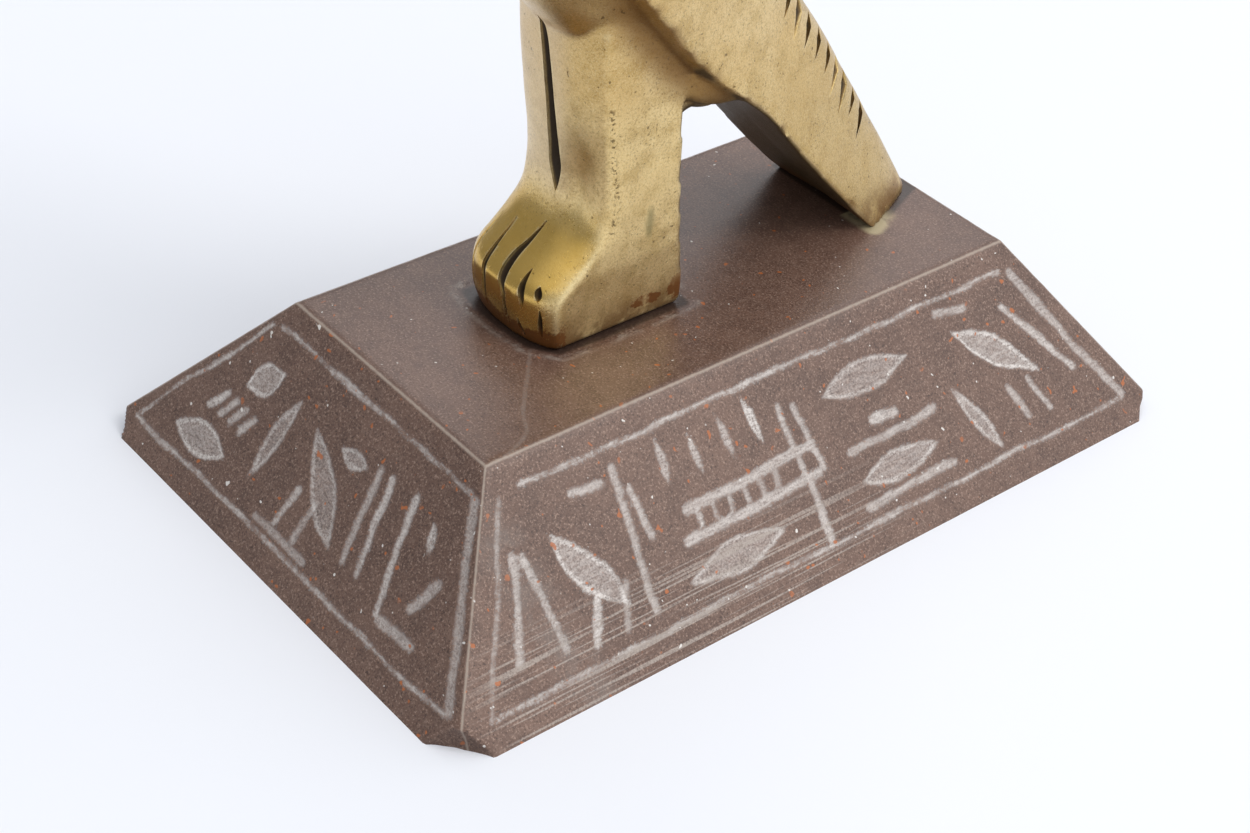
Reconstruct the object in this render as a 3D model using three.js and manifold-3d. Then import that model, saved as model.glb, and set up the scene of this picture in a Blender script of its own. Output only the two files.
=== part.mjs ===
// A falcon cast in brass on a cut stone plinth. Millimetres, +Z up, and the falcon looks along -Y.
// The origin is the centre of the plinth's underside.
import * as THREE from "three";
import { mergeVertices } from "three/addons/utils/BufferGeometryUtils.js";
import Module from "manifold-3d";

const wasm = await Module();
wasm.setup();

// The falcon's proportions are laid out on a grid: GRID_UNITS of it make the height.
const FALCON_HEIGHT = 110;
const GRID_UNITS = 110;
const UNIT = FALCON_HEIGHT / GRID_UNITS;
const FALCON_SIDE_OFFSET = -1.2;

// The plinth is a low pyramid cut off flat. Margins are what its top leaves free around the falcon.
const PLINTH_HEIGHT = 19.4;
const FRONT_MARGIN = 15.3;
const BACK_MARGIN = 0.7;
const SIDE_MARGIN = 9.5;
const END_SLOPE_RUN = 14.5;
const SIDE_SLOPE_RUN = 16.3;

// Scratched marks on the plinth's four slopes.
const MARK_DEPTH = 0.4;
const MARK_WIDTH = 1.1;
const BAND_WIDTH = 1.3;
const LINE_WIDTH = 0.6;
const BROAD_LEAF = 3.7;
const SLIM_LEAF = 2.2;
const CUTTER_RISE = 1;
const MARK_STEPS = 5;

// Broken lower corners: how far the break runs along the edges and up the arris.
const FRONT_CHIP = { reach: 7.4, rise: 5.5 };
const SIDE_CHIP = { reach: 4.4, rise: 4.2 };
const HIDDEN_CHIP = { reach: 2.4, rise: 2.6 };

// Toe grooves and the slit that parts the two legs, in grid units.
const TOE_GROOVES = [-5.1, -2.5, 0, 2.6, 5.0];
const GROOVE_HALF = 0.55;
const GROOVE_DEPTH = 0.9;
const TOE_TOP = 12;
const SLIT_LOW = 15.5;
const SLIT_HIGH = 34;
const SLIT_DEPTH = 1.3;

// Cuts along the back edge of each folded wing, in grid units.
const NICK_PITCH = 2.8;
const NICK_LOW = 12;
const NICK_HIGH = 62;
const NICK_HALF = { deep: 1.3, across: 0.5, along: 1.8 };

const BRASS = new THREE.MeshStandardMaterial({ color: 0xb89a5c, roughness: 0.38, metalness: 1 });
const STONE = new THREE.MeshStandardMaterial({ color: 0x74635c, roughness: 0.6, metalness: 0 });

// A closed three.js geometry as a solid that can be joined or cut.
const solid = (geometry) => {
  const bare = geometry.clone();
  bare.deleteAttribute("normal");
  bare.deleteAttribute("uv");
  const merged = mergeVertices(bare, 1e-4);
  return new wasm.Manifold(new wasm.Mesh({
    numProp: 3,
    vertProperties: new Float32Array(merged.attributes.position.array),
    triVerts: new Uint32Array(merged.index.array),
  }));
};

const mesh = (name, body, material) => {
  const { vertProperties, triVerts } = body.getMesh();
  const geometry = new THREE.BufferGeometry();
  geometry.setAttribute("position", new THREE.BufferAttribute(vertProperties, 3));
  geometry.setIndex(new THREE.BufferAttribute(triVerts, 1));
  const made = new THREE.Mesh(geometry, material);
  made.name = name;
  return made;
};

const join = (bodies) => bodies.reduce((all, body) => all.add(body));

// Stations are rows of up to six numbers; the rows between them follow a smooth curve.
const between = (stations, steps) => {
  const curves = [0, 3].map((first) => new THREE.CatmullRomCurve3(
    stations.map((row) => new THREE.Vector3(...row.slice(first, first + 3))), false, "catmullrom", 0.5));
  const rows = [];
  const last = (stations.length - 1) * steps;
  for (let i = 0; i <= last; i += 1) {
    rows.push(curves.flatMap((curve) => curve.getPoint(i / last).toArray()));
  }
  return rows;
};

// A closed tube whose rings are pulled out to horizontal outlines, listed anticlockwise from above.
const loft = (rows, outline) => {
  const rings = rows.map((row) => outline(row));
  const count = rings[0].length;
  const tube = new THREE.CylinderGeometry(1, 1, 1, count, rows.length - 1);
  tube.rotateX(Math.PI / 2);
  tube.translate(0, 0, 0.5);
  const place = tube.attributes.position;
  for (let i = 0; i < place.count; i += 1) {
    const level = Math.round(place.getZ(i) * (rows.length - 1));
    const ring = rings[level];
    const onAxis = Math.hypot(place.getX(i), place.getY(i)) < 0.5;
    const turn = Math.atan2(place.getX(i), -place.getY(i)) / (2 * Math.PI);
    const step = Math.round(turn * count + count) % count;
    const [x, y] = onAxis ? middle(ring) : ring[step];
    place.setXYZ(i, x * UNIT, y * UNIT, rows[level][0] * UNIT);
  }
  return solid(tube);
};

const middle = (ring) => [0, 1].map((axis) => ring.reduce((sum, point) => sum + point[axis], 0) / ring.length);

// Legs and feet, cast as one block.
// Rows: height, front, back, half width, set-back of the sides, set-back of the corners.
const LEG_ROWS = [
  [0, -20.2, -2.3, 6.8, 1.9, 2.4],
  [2.5, -21.1, -2.5, 7.0, 2.1, 2.6],
  [5, -21.4, -2.7, 7.0, 2.5, 3.1],
  [6.6, -21.1, -2.9, 7.0, 2.8, 3.5],
  [8.2, -19.5, -3.1, 7.0, 2.9, 3.6],
  [10, -17.4, -3.3, 6.95, 2.7, 3.4],
  [12.2, -15.6, -3.5, 6.9, 2.3, 2.9],
  [15, -14.8, -3.8, 6.9, 1.8, 2.2],
  [19, -15.0, -4.1, 6.9, 1.7, 2.1],
  [24, -15.6, -4.3, 6.9, 1.6, 2.0],
  [29, -16.1, -4.2, 7.0, 1.5, 1.9],
  [35, -16.4, -4.0, 7.1, 1.4, 1.8],
];

// A slope from 0 at one height to 1 at the other, either way up.
const ramp = (height, from, to) => {
  const share = THREE.MathUtils.clamp((height - from) / (to - from), 0, 1);
  return share * share * (3 - 2 * share);
};

const legs = () => {
  const stops = TOE_GROOVES.flatMap((x) => [x - GROOVE_HALF, x, x + GROOVE_HALF]);
  return loft(between(LEG_ROWS, 2), ([height, front, back, half, setBack, cornerBack]) => {
    const toes = GROOVE_DEPTH * ramp(height, 0.2, 2) * ramp(height, TOE_TOP, TOE_TOP - 5);
    const slit = SLIT_DEPTH * ramp(height, SLIT_LOW, SLIT_LOW + 3) * ramp(height, SLIT_HIGH, SLIT_HIGH - 2);
    const frontAt = (x, i) => {
      const inGroove = i % 3 === 1;
      const parts = x === 0 ? slit : 0;
      return front + setBack * Math.abs(x / half) ** 3 + (inGroove ? toes + parts : 0);
    };
    const arc = stops.map((x, i) => [x, frontAt(x, i)]);
    const corner = (side) => [side * half, front + cornerBack];
    const near = arc.filter(([x]) => x >= 0);
    const far = arc.filter(([x]) => x < 0);
    return [...near, corner(1), [half, back], [half * 0.5, back], [-half * 0.5, back], [-half, back],
      corner(-1), ...far];
  });
};

// Breast, belly and neck. Rows: height, front, back, half width, squareness.
const BREAST_ROWS = [
  [20.6, 4.8, 12, 5.4, 3.4],
  [22.2, 1.6, 12, 5.9, 3.2],
  [23.5, -1.8, 11.5, 6.2, 3.1],
  [25, -4.8, 11, 6.4, 3.0],
  [28, -9.2, 9.6, 6.7, 2.8],
  [31, -13.2, 8.2, 7.1, 2.7],
  [33.4, -16.6, 6.6, 7.5, 2.6],
  [36, -18.9, 5, 8.1, 2.5],
  [40, -21.2, 2.6, 9.0, 2.4],
  [46, -24.2, -0.6, 10.2, 2.3],
  [53, -26.9, -3.6, 11.3, 2.25],
  [60, -28.8, -6, 12.1, 2.2],
  [67, -29.0, -8, 12.3, 2.2],
  [73.5, -28.0, -9.4, 12.0, 2.2],
  [79.5, -26.2, -9.6, 11.4, 2.2],
  [85, -24.6, -8.9, 10.6, 2.2],
  [90.5, -23.8, -7.6, 10.1, 2.2],
  [96, -23.4, -6.6, 9.7, 2.2],
];
const BREAST_POINTS = 24;

const breast = () => loft(between(BREAST_ROWS, 1), ([, front, back, half, square]) => {
  const centre = (front + back) / 2;
  const ring = [];
  for (let i = 0; i < BREAST_POINTS; i += 1) {
    const turn = (i / BREAST_POINTS) * 2 * Math.PI;
    const across = Math.sign(Math.sin(turn)) * Math.abs(Math.sin(turn)) ** (2 / square);
    const ahead = Math.sign(Math.cos(turn)) * Math.abs(Math.cos(turn)) ** (2 / square);
    const reach = ahead > 0 ? centre - front : back - centre;
    ring.push([across * half, centre - ahead * reach]);
  }
  return ring;
});

// Folded wings and tail. Rows: height, lower edge, back, half width, squareness, taper towards the back.
const WING_ROWS = [
  [0, 24.9, 34.8, 8.0, 7, 0.54],
  [3.7, 21, 32.3, 8.1, 7, 0.53],
  [8.8, 16.2, 28.9, 8.2, 7, 0.52],
  [14.4, 11.1, 24.9, 8.3, 6.6, 0.49],
  [19.3, 6.8, 21.4, 8.5, 6.2, 0.46],
  [22, 3.8, 19.5, 8.7, 5.8, 0.44],
  [24.5, 0.8, 17.7, 8.9, 5.4, 0.43],
  [26.8, -2.1, 16, 9.1, 5, 0.42],
  [29.3, -5, 14.1, 9.4, 4.6, 0.4],
  [32.3, -7.8, 12, 9.7, 4.2, 0.38],
  [35.7, -10.7, 9.6, 10.1, 3.9, 0.36],
  [39, -13.4, 7.4, 10.5, 3.6, 0.33],
  [44.5, -17, 3.9, 11.2, 3.2, 0.29],
  [51, -20.2, 0.2, 12.2, 2.8, 0.23],
  [58, -22.7, -3.2, 13.1, 2.6, 0.17],
  [65, -24.1, -6.3, 13.5, 2.4, 0.11],
  [71, -24.1, -8.2, 13.1, 2.3, 0.07],
  [75.5, -23, -9.3, 11.9, 2.3, 0.05],
  [79, -21, -9.9, 9.6, 2.3, 0.05],
];
const WING_STEPS = 7;

// A point on the wing's side, from its lower front edge (0) to the middle of the back (1).
const wingSide = ([, edge, back, half, square, taper], share) => {
  const turn = share * Math.PI / 2;
  const behind = Math.sin(turn) ** (2 / square);
  const across = (1 - taper * behind) * Math.max(Math.cos(turn), 0) ** (2 / square);
  return [half * across, edge + (back - edge) * behind];
};

const wings = () => loft(between(WING_ROWS, 1), (row) => {
  const near = [];
  for (let i = 0; i <= WING_STEPS; i += 1) near.push(wingSide(row, i / WING_STEPS));
  const far = near.slice(0, -1).reverse().map(([x, y]) => [-x, y]);
  return [[0, row[1] + 0.5], ...near, ...far];
});

const nicks = () => {
  const rows = between(WING_ROWS, 8);
  const cuts = [];
  for (let height = NICK_LOW; height < NICK_HIGH; height += NICK_PITCH) {
    const row = rows.find((candidate) => candidate[0] >= height);
    const [x, y] = wingSide(row, 0.56);
    for (const side of [-1, 1]) {
      const cut = new THREE.OctahedronGeometry(1);
      cut.scale(NICK_HALF.deep * UNIT, NICK_HALF.across * UNIT, NICK_HALF.along * UNIT);
      cut.rotateX(THREE.MathUtils.degToRad(-18));
      cut.translate(side * x * UNIT, y * UNIT, row[0] * UNIT);
      cuts.push(solid(cut));
    }
  }
  return join(cuts);
};

// Head, in grid units: an egg, a hooked beak, and eyes under a brow. Face parts are placed from the head's middle.
const HEAD = { y: -15.6, z: 98, across: 10.6, along: 11.4, up: 12, crown: 0.86 };
const BEAK_OUTLINE = [
  [-4.4, 4.6], [-11.4, 3.4], [-14.8, 1.4], [-16.6, -1.6], [-16.8, -4.6], [-15.8, -6.8],
  [-14.6, -4.2], [-12.6, -3.6], [-10.4, -5], [-4.4, -5.6],
];
const BEAK = { root: -4.4, tip: -16.8, rootHalf: 4.4, tipHalf: 0.8, ridge: 0.5, gape: -1 };
const EYE = { aside: 8.5, ahead: 6, above: 1.3, half: [1.5, 2.4, 2.3], tilt: 0, turn: 28 };
const BROW = { aside: 8.1, ahead: 5, above: 4.2, half: [1.6, 4.6, 1.0], tilt: 10, turn: 24 };
const CHEEK = { aside: 8.4, ahead: 4.8, above: -4.2, half: [1.4, 1.6, 3.9], tilt: -14, turn: 24 };

// The casting is left thicker in the corner between the legs and the tail.
const WEB = { y: -0.4, z: 24.3, half: [5.8, 5.6, 2.6], tilt: -24 };

// An egg by its middle, its half sizes across, along and up, its tilt forwards and its turn, in degrees.
const egg = ([x, y, z], [across, along, up], tilt = 0, turn = 0) => {
  const shape = new THREE.SphereGeometry(1, 12, 8);
  shape.rotateX(Math.PI / 2);
  shape.scale(across * UNIT, along * UNIT, up * UNIT);
  shape.rotateX(THREE.MathUtils.degToRad(tilt));
  shape.rotateZ(THREE.MathUtils.degToRad(turn));
  shape.translate(x * UNIT, y * UNIT, z * UNIT);
  return solid(shape);
};

const skull = () => {
  const shape = new THREE.SphereGeometry(1, 24, 14);
  shape.rotateX(Math.PI / 2);
  const place = shape.attributes.position;
  for (let i = 0; i < place.count; i += 1) {
    const z = place.getZ(i);
    place.setZ(i, z > 0 ? HEAD.crown * z + (1 - HEAD.crown) * z ** 4 : z);
  }
  shape.scale(HEAD.across * UNIT, HEAD.along * UNIT, HEAD.up * UNIT);
  shape.translate(0, HEAD.y * UNIT, HEAD.z * UNIT);
  return solid(shape);
};

const beak = () => {
  const outline = new THREE.Shape(BEAK_OUTLINE.map(([y, z]) => new THREE.Vector2(y, z)));
  const shape = new THREE.ExtrudeGeometry(outline, { depth: 2, bevelEnabled: false, steps: 2 });
  shape.translate(0, 0, -1);
  const place = shape.attributes.position;
  for (let i = 0; i < place.count; i += 1) {
    const [y, z, side] = [place.getX(i), place.getY(i), place.getZ(i)];
    const share = THREE.MathUtils.clamp((y - BEAK.root) / (BEAK.tip - BEAK.root), 0, 1);
    const half = THREE.MathUtils.lerp(BEAK.rootHalf, BEAK.tipHalf, share ** 2);
    const ridge = side === 0 ? BEAK.ridge : 0;
    place.setXYZ(i, side * half * UNIT, (y - ridge) * UNIT, (z + ridge * Math.sign(z - BEAK.gape)) * UNIT);
  }
  shape.translate(0, HEAD.y * UNIT, HEAD.z * UNIT);
  return solid(shape);
};

const face = () => join([-1, 1].flatMap((side) => [EYE, BROW, CHEEK].map(
  ({ aside, ahead, above, half, tilt, turn }) => (
    egg([side * aside, HEAD.y - ahead, HEAD.z + above], half, tilt, -side * turn)))));

const web = () => egg([0, WEB.y, WEB.z], WEB.half, WEB.tilt);

const falcon = () => join([wings().subtract(nicks()), breast(), legs(), web(), skull(), beak(), face()]);

// Where the falcon's foot and tail reach on the stone.
const footFront = LEG_ROWS[0][1] * UNIT;
const tailBack = WING_ROWS[0][2] * UNIT;
const footWidth = 2 * LEG_ROWS[0][3] * UNIT;
const topLength = FRONT_MARGIN + (tailBack - footFront) + BACK_MARGIN;
const topWidth = 2 * SIDE_MARGIN + footWidth;
const baseLength = topLength + 2 * END_SLOPE_RUN;
const baseWidth = topWidth + 2 * SIDE_SLOPE_RUN;
const falconY = -topLength / 2 + FRONT_MARGIN - footFront;

const frustum = () => {
  const block = new THREE.BoxGeometry(baseWidth, baseLength, PLINTH_HEIGHT);
  block.translate(0, 0, PLINTH_HEIGHT / 2);
  const place = block.attributes.position;
  for (let i = 0; i < place.count; i += 1) {
    if (place.getZ(i) < PLINTH_HEIGHT / 2) continue;
    place.setX(i, Math.sign(place.getX(i)) * topWidth / 2);
    place.setY(i, Math.sign(place.getY(i)) * topLength / 2);
  }
  return solid(block);
};

// A break at a lower corner: a rough lump taken off it.
const chip = (sideX, sideY, { reach, rise }) => {
  const lump = new THREE.IcosahedronGeometry(1, 1);
  const [inwards, aside, up] = [1.2 * reach, 1.9 * reach, 1.45 * rise];
  const outside = (inwards - reach / Math.SQRT2) / Math.SQRT2;
  lump.scale(inwards, aside, up);
  lump.rotateZ(sideX * sideY * Math.PI / 4);
  lump.translate(sideX * (baseWidth / 2 + outside), sideY * (baseLength / 2 + outside), 0);
  return solid(lump);
};

// One slope of the plinth: across runs -1 to 1 along it, up runs 0 to 1 from its lower to its upper edge.
const slope = (turn, base, top, depthBase, depthTop) => {
  const frame = new THREE.Matrix4().makeRotationZ(turn);
  const lean = Math.atan2(PLINTH_HEIGHT, (depthBase - depthTop) / 2);
  const rise = Math.hypot(PLINTH_HEIGHT, (depthBase - depthTop) / 2);
  frame.multiply(new THREE.Matrix4().makeTranslation(0, -depthBase / 2, 0));
  frame.multiply(new THREE.Matrix4().makeRotationX(lean));
  const at = (across, up) => new THREE.Vector2(across * THREE.MathUtils.lerp(base, top, up) / 2, up * rise);
  return { frame, at };
};

// A groove from one place to another on a slope. Swell 0 keeps its width, 1 swells it like a leaf.
const groove = ({ frame, at }, [a, b, c, d], width, swell = 0, skew = 0) => {
  const [start, end] = [at(a, b), at(c, d)];
  const along = end.clone().sub(start);
  const aside = new THREE.Vector2(-along.y, along.x).normalize();
  const rim = (side) => {
    const points = [];
    const steps = swell ? MARK_STEPS : 1;
    for (let i = 0; i <= steps; i += 1) {
      const share = i / steps;
      const full = swell ? 0.12 + 0.88 * Math.sin(Math.PI * share ** (1 + skew)) : 1;
      points.push(start.clone().addScaledVector(along, share).addScaledVector(aside, side * full * width / 2));
    }
    return points;
  };
  const outline = new THREE.Shape([...rim(-1), ...rim(1).reverse()]);
  const cutter = new THREE.ExtrudeGeometry(outline, { depth: MARK_DEPTH + CUTTER_RISE, bevelEnabled: false });
  cutter.translate(0, 0, -MARK_DEPTH);
  cutter.applyMatrix4(frame);
  return solid(cutter);
};

const row = (count, from, to, mark) => {
  const marks = [];
  for (let i = 0; i < count; i += 1) marks.push(mark(THREE.MathUtils.lerp(from, to, i / (count - 1))));
  return marks;
};

const border = (side) => [
  groove(side, [-0.93, 0.13, 0.92, 0.13], LINE_WIDTH),
  groove(side, [-0.88, 0.88, 0.9, 0.88], LINE_WIDTH),
  groove(side, [-0.93, 0.13, -0.94, 0.86], LINE_WIDTH),
  groove(side, [0.93, 0.15, 0.93, 0.86], BAND_WIDTH),
];

const longFront = (side) => [
  ...border(side),
  groove(side, [-0.86, 0.26, -0.89, 0.64], MARK_WIDTH),
  groove(side, [-0.74, 0.24, -0.86, 0.62], MARK_WIDTH),
  groove(side, [-0.79, 0.66, -0.56, 0.27], BROAD_LEAF, 1),
  ...row(2, -0.66, -0.58, (a) => groove(side, [a, 0.2, a + 0.01, 0.36], MARK_WIDTH)),
  groove(side, [-0.72, 0.77, -0.63, 0.76], MARK_WIDTH),
  groove(side, [-0.5, 0.22, -0.59, 0.8], MARK_WIDTH),
  groove(side, [-0.49, 0.48, -0.54, 0.7], MARK_WIDTH),
  ...row(4, -0.44, -0.14, (a) => groove(side, [a + 0.03, 0.64, a, 0.84], BAND_WIDTH, 1)),
  ...row(2, 0.4, 0.52, (b) => groove(side, [-0.44 + b / 8, b, -0.03 + b / 8, b + 0.03], BAND_WIDTH)),
  groove(side, [-0.4, 0.25, -0.12, 0.28], BROAD_LEAF, 1),
  groove(side, [-0.01, 0.15, -0.03, 0.74], MARK_WIDTH),
  groove(side, [0.04, 0.44, 0.02, 0.72], MARK_WIDTH),
  groove(side, [0.11, 0.7, 0.43, 0.72], BROAD_LEAF, 1),
  groove(side, [0.13, 0.44, 0.42, 0.46], MARK_WIDTH),
  groove(side, [0.24, 0.53, 0.31, 0.53], BAND_WIDTH),
  groove(side, [0.12, 0.3, 0.38, 0.32], BROAD_LEAF, 1),
  groove(side, [0.11, 0.2, 0.39, 0.22], MARK_WIDTH),
  groove(side, [0.54, 0.18, 0.5, 0.5], SLIM_LEAF, 1),
  groove(side, [0.61, 0.72, 0.78, 0.42], BROAD_LEAF, 1),
  ...row(2, 0.66, 0.73, (a) => groove(side, [a, 0.25, a, 0.4], MARK_WIDTH)),
  groove(side, [0.6, 0.82, 0.7, 0.8], MARK_WIDTH),
  groove(side, [0.88, 0.36, 0.82, 0.74], MARK_WIDTH),
];

const shortFront = (side) => [
  ...border(side),
  groove(side, [-0.78, 0.24, -0.5, 0.27], BROAD_LEAF, 1),
  ...row(4, -0.75, -0.53, (a) => groove(side, [a, 0.4, a + 0.01, 0.49], MARK_WIDTH)),
  groove(side, [-0.7, 0.58, -0.6, 0.73], BROAD_LEAF, 1),
  groove(side, [-0.34, 0.28, -0.4, 0.7], SLIM_LEAF, 1),
  groove(side, [-0.2, 0.64, 0.17, 0.3], BROAD_LEAF, 1),
  ...row(2, -0.11, 0, (a) => groove(side, [a, 0.22, a + 0.01, 0.4], MARK_WIDTH)),
  groove(side, [-0.2, 0.18, 0.09, 0.18], MARK_WIDTH),
  groove(side, [-0.02, 0.66, 0.2, 0.67], SLIM_LEAF, 1),
  ...row(2, 0.26, 0.35, (a) => groove(side, [a, 0.3, a + 0.01, 0.7], MARK_WIDTH)),
  groove(side, [0.5, 0.24, 0.54, 0.72], MARK_WIDTH),
  groove(side, [0.52, 0.23, 0.7, 0.25], BAND_WIDTH),
  groove(side, [0.67, 0.36, 0.78, 0.5], BAND_WIDTH),
  groove(side, [0.7, 0.58, 0.68, 0.68], MARK_WIDTH, 1),
];

// The two slopes away from the viewer carry plainer rows in the same manner.
const plainRows = (side, count) => [
  ...border(side),
  ...row(count, -0.78, 0.74, (a) => groove(side, [a, 0.3, a - 0.03, 0.7], SLIM_LEAF, 1)),
  ...row(count - 1, -0.66, 0.62, (a) => groove(side, [a, 0.26, a, 0.5], MARK_WIDTH)),
];

const plinth = () => {
  const long = (turn) => slope(turn, baseLength, topLength, baseWidth, topWidth);
  const short = (turn) => slope(turn, baseWidth, topWidth, baseLength, topLength);
  const marks = [
    ...longFront(long(Math.PI / 2)),
    ...shortFront(short(0)),
    ...plainRows(long(-Math.PI / 2), 9),
    ...plainRows(short(Math.PI), 5),
  ];
  const breaks = [
    chip(1, -1, FRONT_CHIP),
    chip(1, 1, SIDE_CHIP),
    chip(-1, -1, SIDE_CHIP),
    chip(-1, 1, HIDDEN_CHIP),
  ];
  return frustum().subtract(join([...marks, ...breaks]));
};

const statuette = new THREE.Group();
const bird = mesh("falcon", falcon(), BRASS);
bird.position.set(FALCON_SIDE_OFFSET, falconY, PLINTH_HEIGHT);
statuette.add(bird, mesh("plinth", plinth(), STONE));

export default statuette;
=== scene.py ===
# %% [markdown]
# # Horus statuette: a brass falcon on a stone plinth
# The frame holds two CAD nodes, the falcon and the plinth. CAD solids are clean and smooth, and the real
# pieces were cast, filed, scratched and worn. So this script makes a finer mesh of each node in the same
# form, and adds its finish, a floor, the light and the photo's camera. Sizes are in millimetres here, and
# Blender's own unit is the metre.

import math

import bpy
import numpy as np
from mathutils import Matrix, Vector, noise
from mathutils.bvhtree import BVHTree


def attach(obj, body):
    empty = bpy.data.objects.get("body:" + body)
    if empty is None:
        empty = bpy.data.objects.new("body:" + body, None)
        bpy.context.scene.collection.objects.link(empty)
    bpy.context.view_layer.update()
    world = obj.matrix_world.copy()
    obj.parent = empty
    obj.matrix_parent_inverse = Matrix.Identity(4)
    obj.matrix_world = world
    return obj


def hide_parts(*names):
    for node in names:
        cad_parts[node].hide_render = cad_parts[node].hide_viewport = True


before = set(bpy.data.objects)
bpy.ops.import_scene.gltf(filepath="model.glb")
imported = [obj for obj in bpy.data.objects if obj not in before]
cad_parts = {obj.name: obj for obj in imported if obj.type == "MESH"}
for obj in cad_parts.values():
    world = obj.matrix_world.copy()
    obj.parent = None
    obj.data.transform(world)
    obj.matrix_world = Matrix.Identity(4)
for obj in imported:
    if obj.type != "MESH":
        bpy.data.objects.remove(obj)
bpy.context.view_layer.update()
MM = 0.001

# %% [markdown]
# ## Sizes
# The falcon is one casting, upright on its feet, with its tail down to the stone. Its form could be
# sculpted by hand, but the CAD part holds it as short tables of cross-sections. The same tables are used
# here, so that both meshes have one form. Heights start at the stone's top, and the beak points to -Y.

# %% Legs and feet
# Height, front, back, half width, how far the front falls back at its sides, where the side begins.
LEG_ROWS = [
    [0, -20.2, -2.3, 6.8, 1.9, 2.4],
    [2.5, -21.1, -2.5, 7.0, 2.1, 2.6],
    [5, -21.4, -2.7, 7.0, 2.5, 3.1],
    [6.6, -21.1, -2.9, 7.0, 2.8, 3.5],
    [8.2, -19.5, -3.1, 7.0, 2.9, 3.6],
    [10, -17.4, -3.3, 6.95, 2.7, 3.4],
    [12.2, -15.6, -3.5, 6.9, 2.3, 2.9],
    [15, -14.8, -3.8, 6.9, 1.8, 2.2],
    [19, -15.0, -4.1, 6.9, 1.7, 2.1],
    [24, -15.6, -4.3, 6.9, 1.6, 2.0],
    [29, -16.1, -4.2, 7.0, 1.5, 1.9],
    [35, -16.4, -4.0, 7.1, 1.4, 1.8],
]
print("legs", LEG_ROWS[-1][0], "mm high")

# %% Breast and belly
# Height, front, back, half width, squareness: 2 is an ellipse, and more is squarer.
BREAST_ROWS = [
    [20.6, 4.8, 12, 5.4, 3.4],
    [22.2, 1.6, 12, 5.9, 3.2],
    [23.5, -1.8, 11.5, 6.2, 3.1],
    [25, -4.8, 11, 6.4, 3.0],
    [28, -9.2, 9.6, 6.7, 2.8],
    [31, -13.2, 8.2, 7.1, 2.7],
    [33.4, -16.6, 6.6, 7.5, 2.6],
    [36, -18.9, 5, 8.1, 2.5],
    [40, -21.2, 2.6, 9.0, 2.4],
    [46, -24.2, -0.6, 10.2, 2.3],
    [53, -26.9, -3.6, 11.3, 2.25],
    [60, -28.8, -6, 12.1, 2.2],
    [67, -29.0, -8, 12.3, 2.2],
    [73.5, -28.0, -9.4, 12.0, 2.2],
    [79.5, -26.2, -9.6, 11.4, 2.2],
    [85, -24.6, -8.9, 10.6, 2.2],
    [90.5, -23.8, -7.6, 10.1, 2.2],
    [96, -23.4, -6.6, 9.7, 2.2],
]
print("breast from", BREAST_ROWS[0][0], "to", BREAST_ROWS[-1][0], "mm")

# %% Wings and tail
# Height, front edge, back, half width, squareness, how much the half width falls off towards the back.
WING_ROWS = [
    [0, 24.9, 34.8, 8.0, 7, 0.54],
    [3.7, 21, 32.3, 8.1, 7, 0.53],
    [8.8, 16.2, 28.9, 8.2, 7, 0.52],
    [14.4, 11.1, 24.9, 8.3, 6.6, 0.49],
    [19.3, 6.8, 21.4, 8.5, 6.2, 0.46],
    [22, 3.8, 19.5, 8.7, 5.8, 0.44],
    [24.5, 0.8, 17.7, 8.9, 5.4, 0.43],
    [26.8, -2.1, 16, 9.1, 5, 0.42],
    [29.3, -5, 14.1, 9.4, 4.6, 0.4],
    [32.3, -7.8, 12, 9.7, 4.2, 0.38],
    [35.7, -10.7, 9.6, 10.1, 3.9, 0.36],
    [39, -13.4, 7.4, 10.5, 3.6, 0.33],
    [44.5, -17, 3.9, 11.2, 3.2, 0.29],
    [51, -20.2, 0.2, 12.2, 2.8, 0.23],
    [58, -22.7, -3.2, 13.1, 2.6, 0.17],
    [65, -24.1, -6.3, 13.5, 2.4, 0.11],
    [71, -24.1, -8.2, 13.1, 2.3, 0.07],
    [75.5, -23, -9.3, 11.9, 2.3, 0.05],
    [79, -21, -9.9, 9.6, 2.3, 0.05],
]
print("wings", WING_ROWS[-1][0], "mm high")

# %% Head
# The beak, eyes, brows and cheeks are placed from the middle of the head.
HEAD = dict(y=-15.6, z=98, across=10.6, along=11.4, up=12, crown=0.86)
BEAK_OUTLINE = [
    (-4.4, 4.6), (-11.4, 3.4), (-14.8, 1.4), (-16.6, -1.6), (-16.8, -4.6), (-15.8, -6.8),
    (-14.6, -4.2), (-12.6, -3.6), (-10.4, -5), (-4.4, -5.6),
]
BEAK = dict(root=-4.4, tip=-16.8, root_half=4.4, tip_half=0.8, ridge=0.5, gape=-1)
EYE = dict(aside=8.5, ahead=6, above=1.3, half=(1.5, 2.4, 2.3), tilt=0, turn=28)
BROW = dict(aside=8.1, ahead=5, above=4.2, half=(1.6, 4.6, 1.0), tilt=10, turn=24)
CHEEK = dict(aside=8.4, ahead=4.8, above=-4.2, half=(1.4, 1.6, 3.9), tilt=-14, turn=24)
print("falcon height", HEAD["z"] + HEAD["up"])

# %% Plinth
PLINTH_HEIGHT = 19.4
TOP_LENGTH, TOP_WIDTH = 71.0, 32.6
BASE_LENGTH, BASE_WIDTH = 100.0, 65.2
FALCON_PLACE = np.array([-1.2, 0, PLINTH_HEIGHT])
print("plinth", BASE_WIDTH, BASE_LENGTH, PLINTH_HEIGHT)

# %% [markdown]
# ## Curves and closed shells
# A hand-made casting has few straight lines. Each part of the bird could be a Blender curve object, but
# arrays of points are shorter to write and easy to measure. A smooth curve runs through the rows of a
# table, and a tube joins one ring of points to the next.

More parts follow.
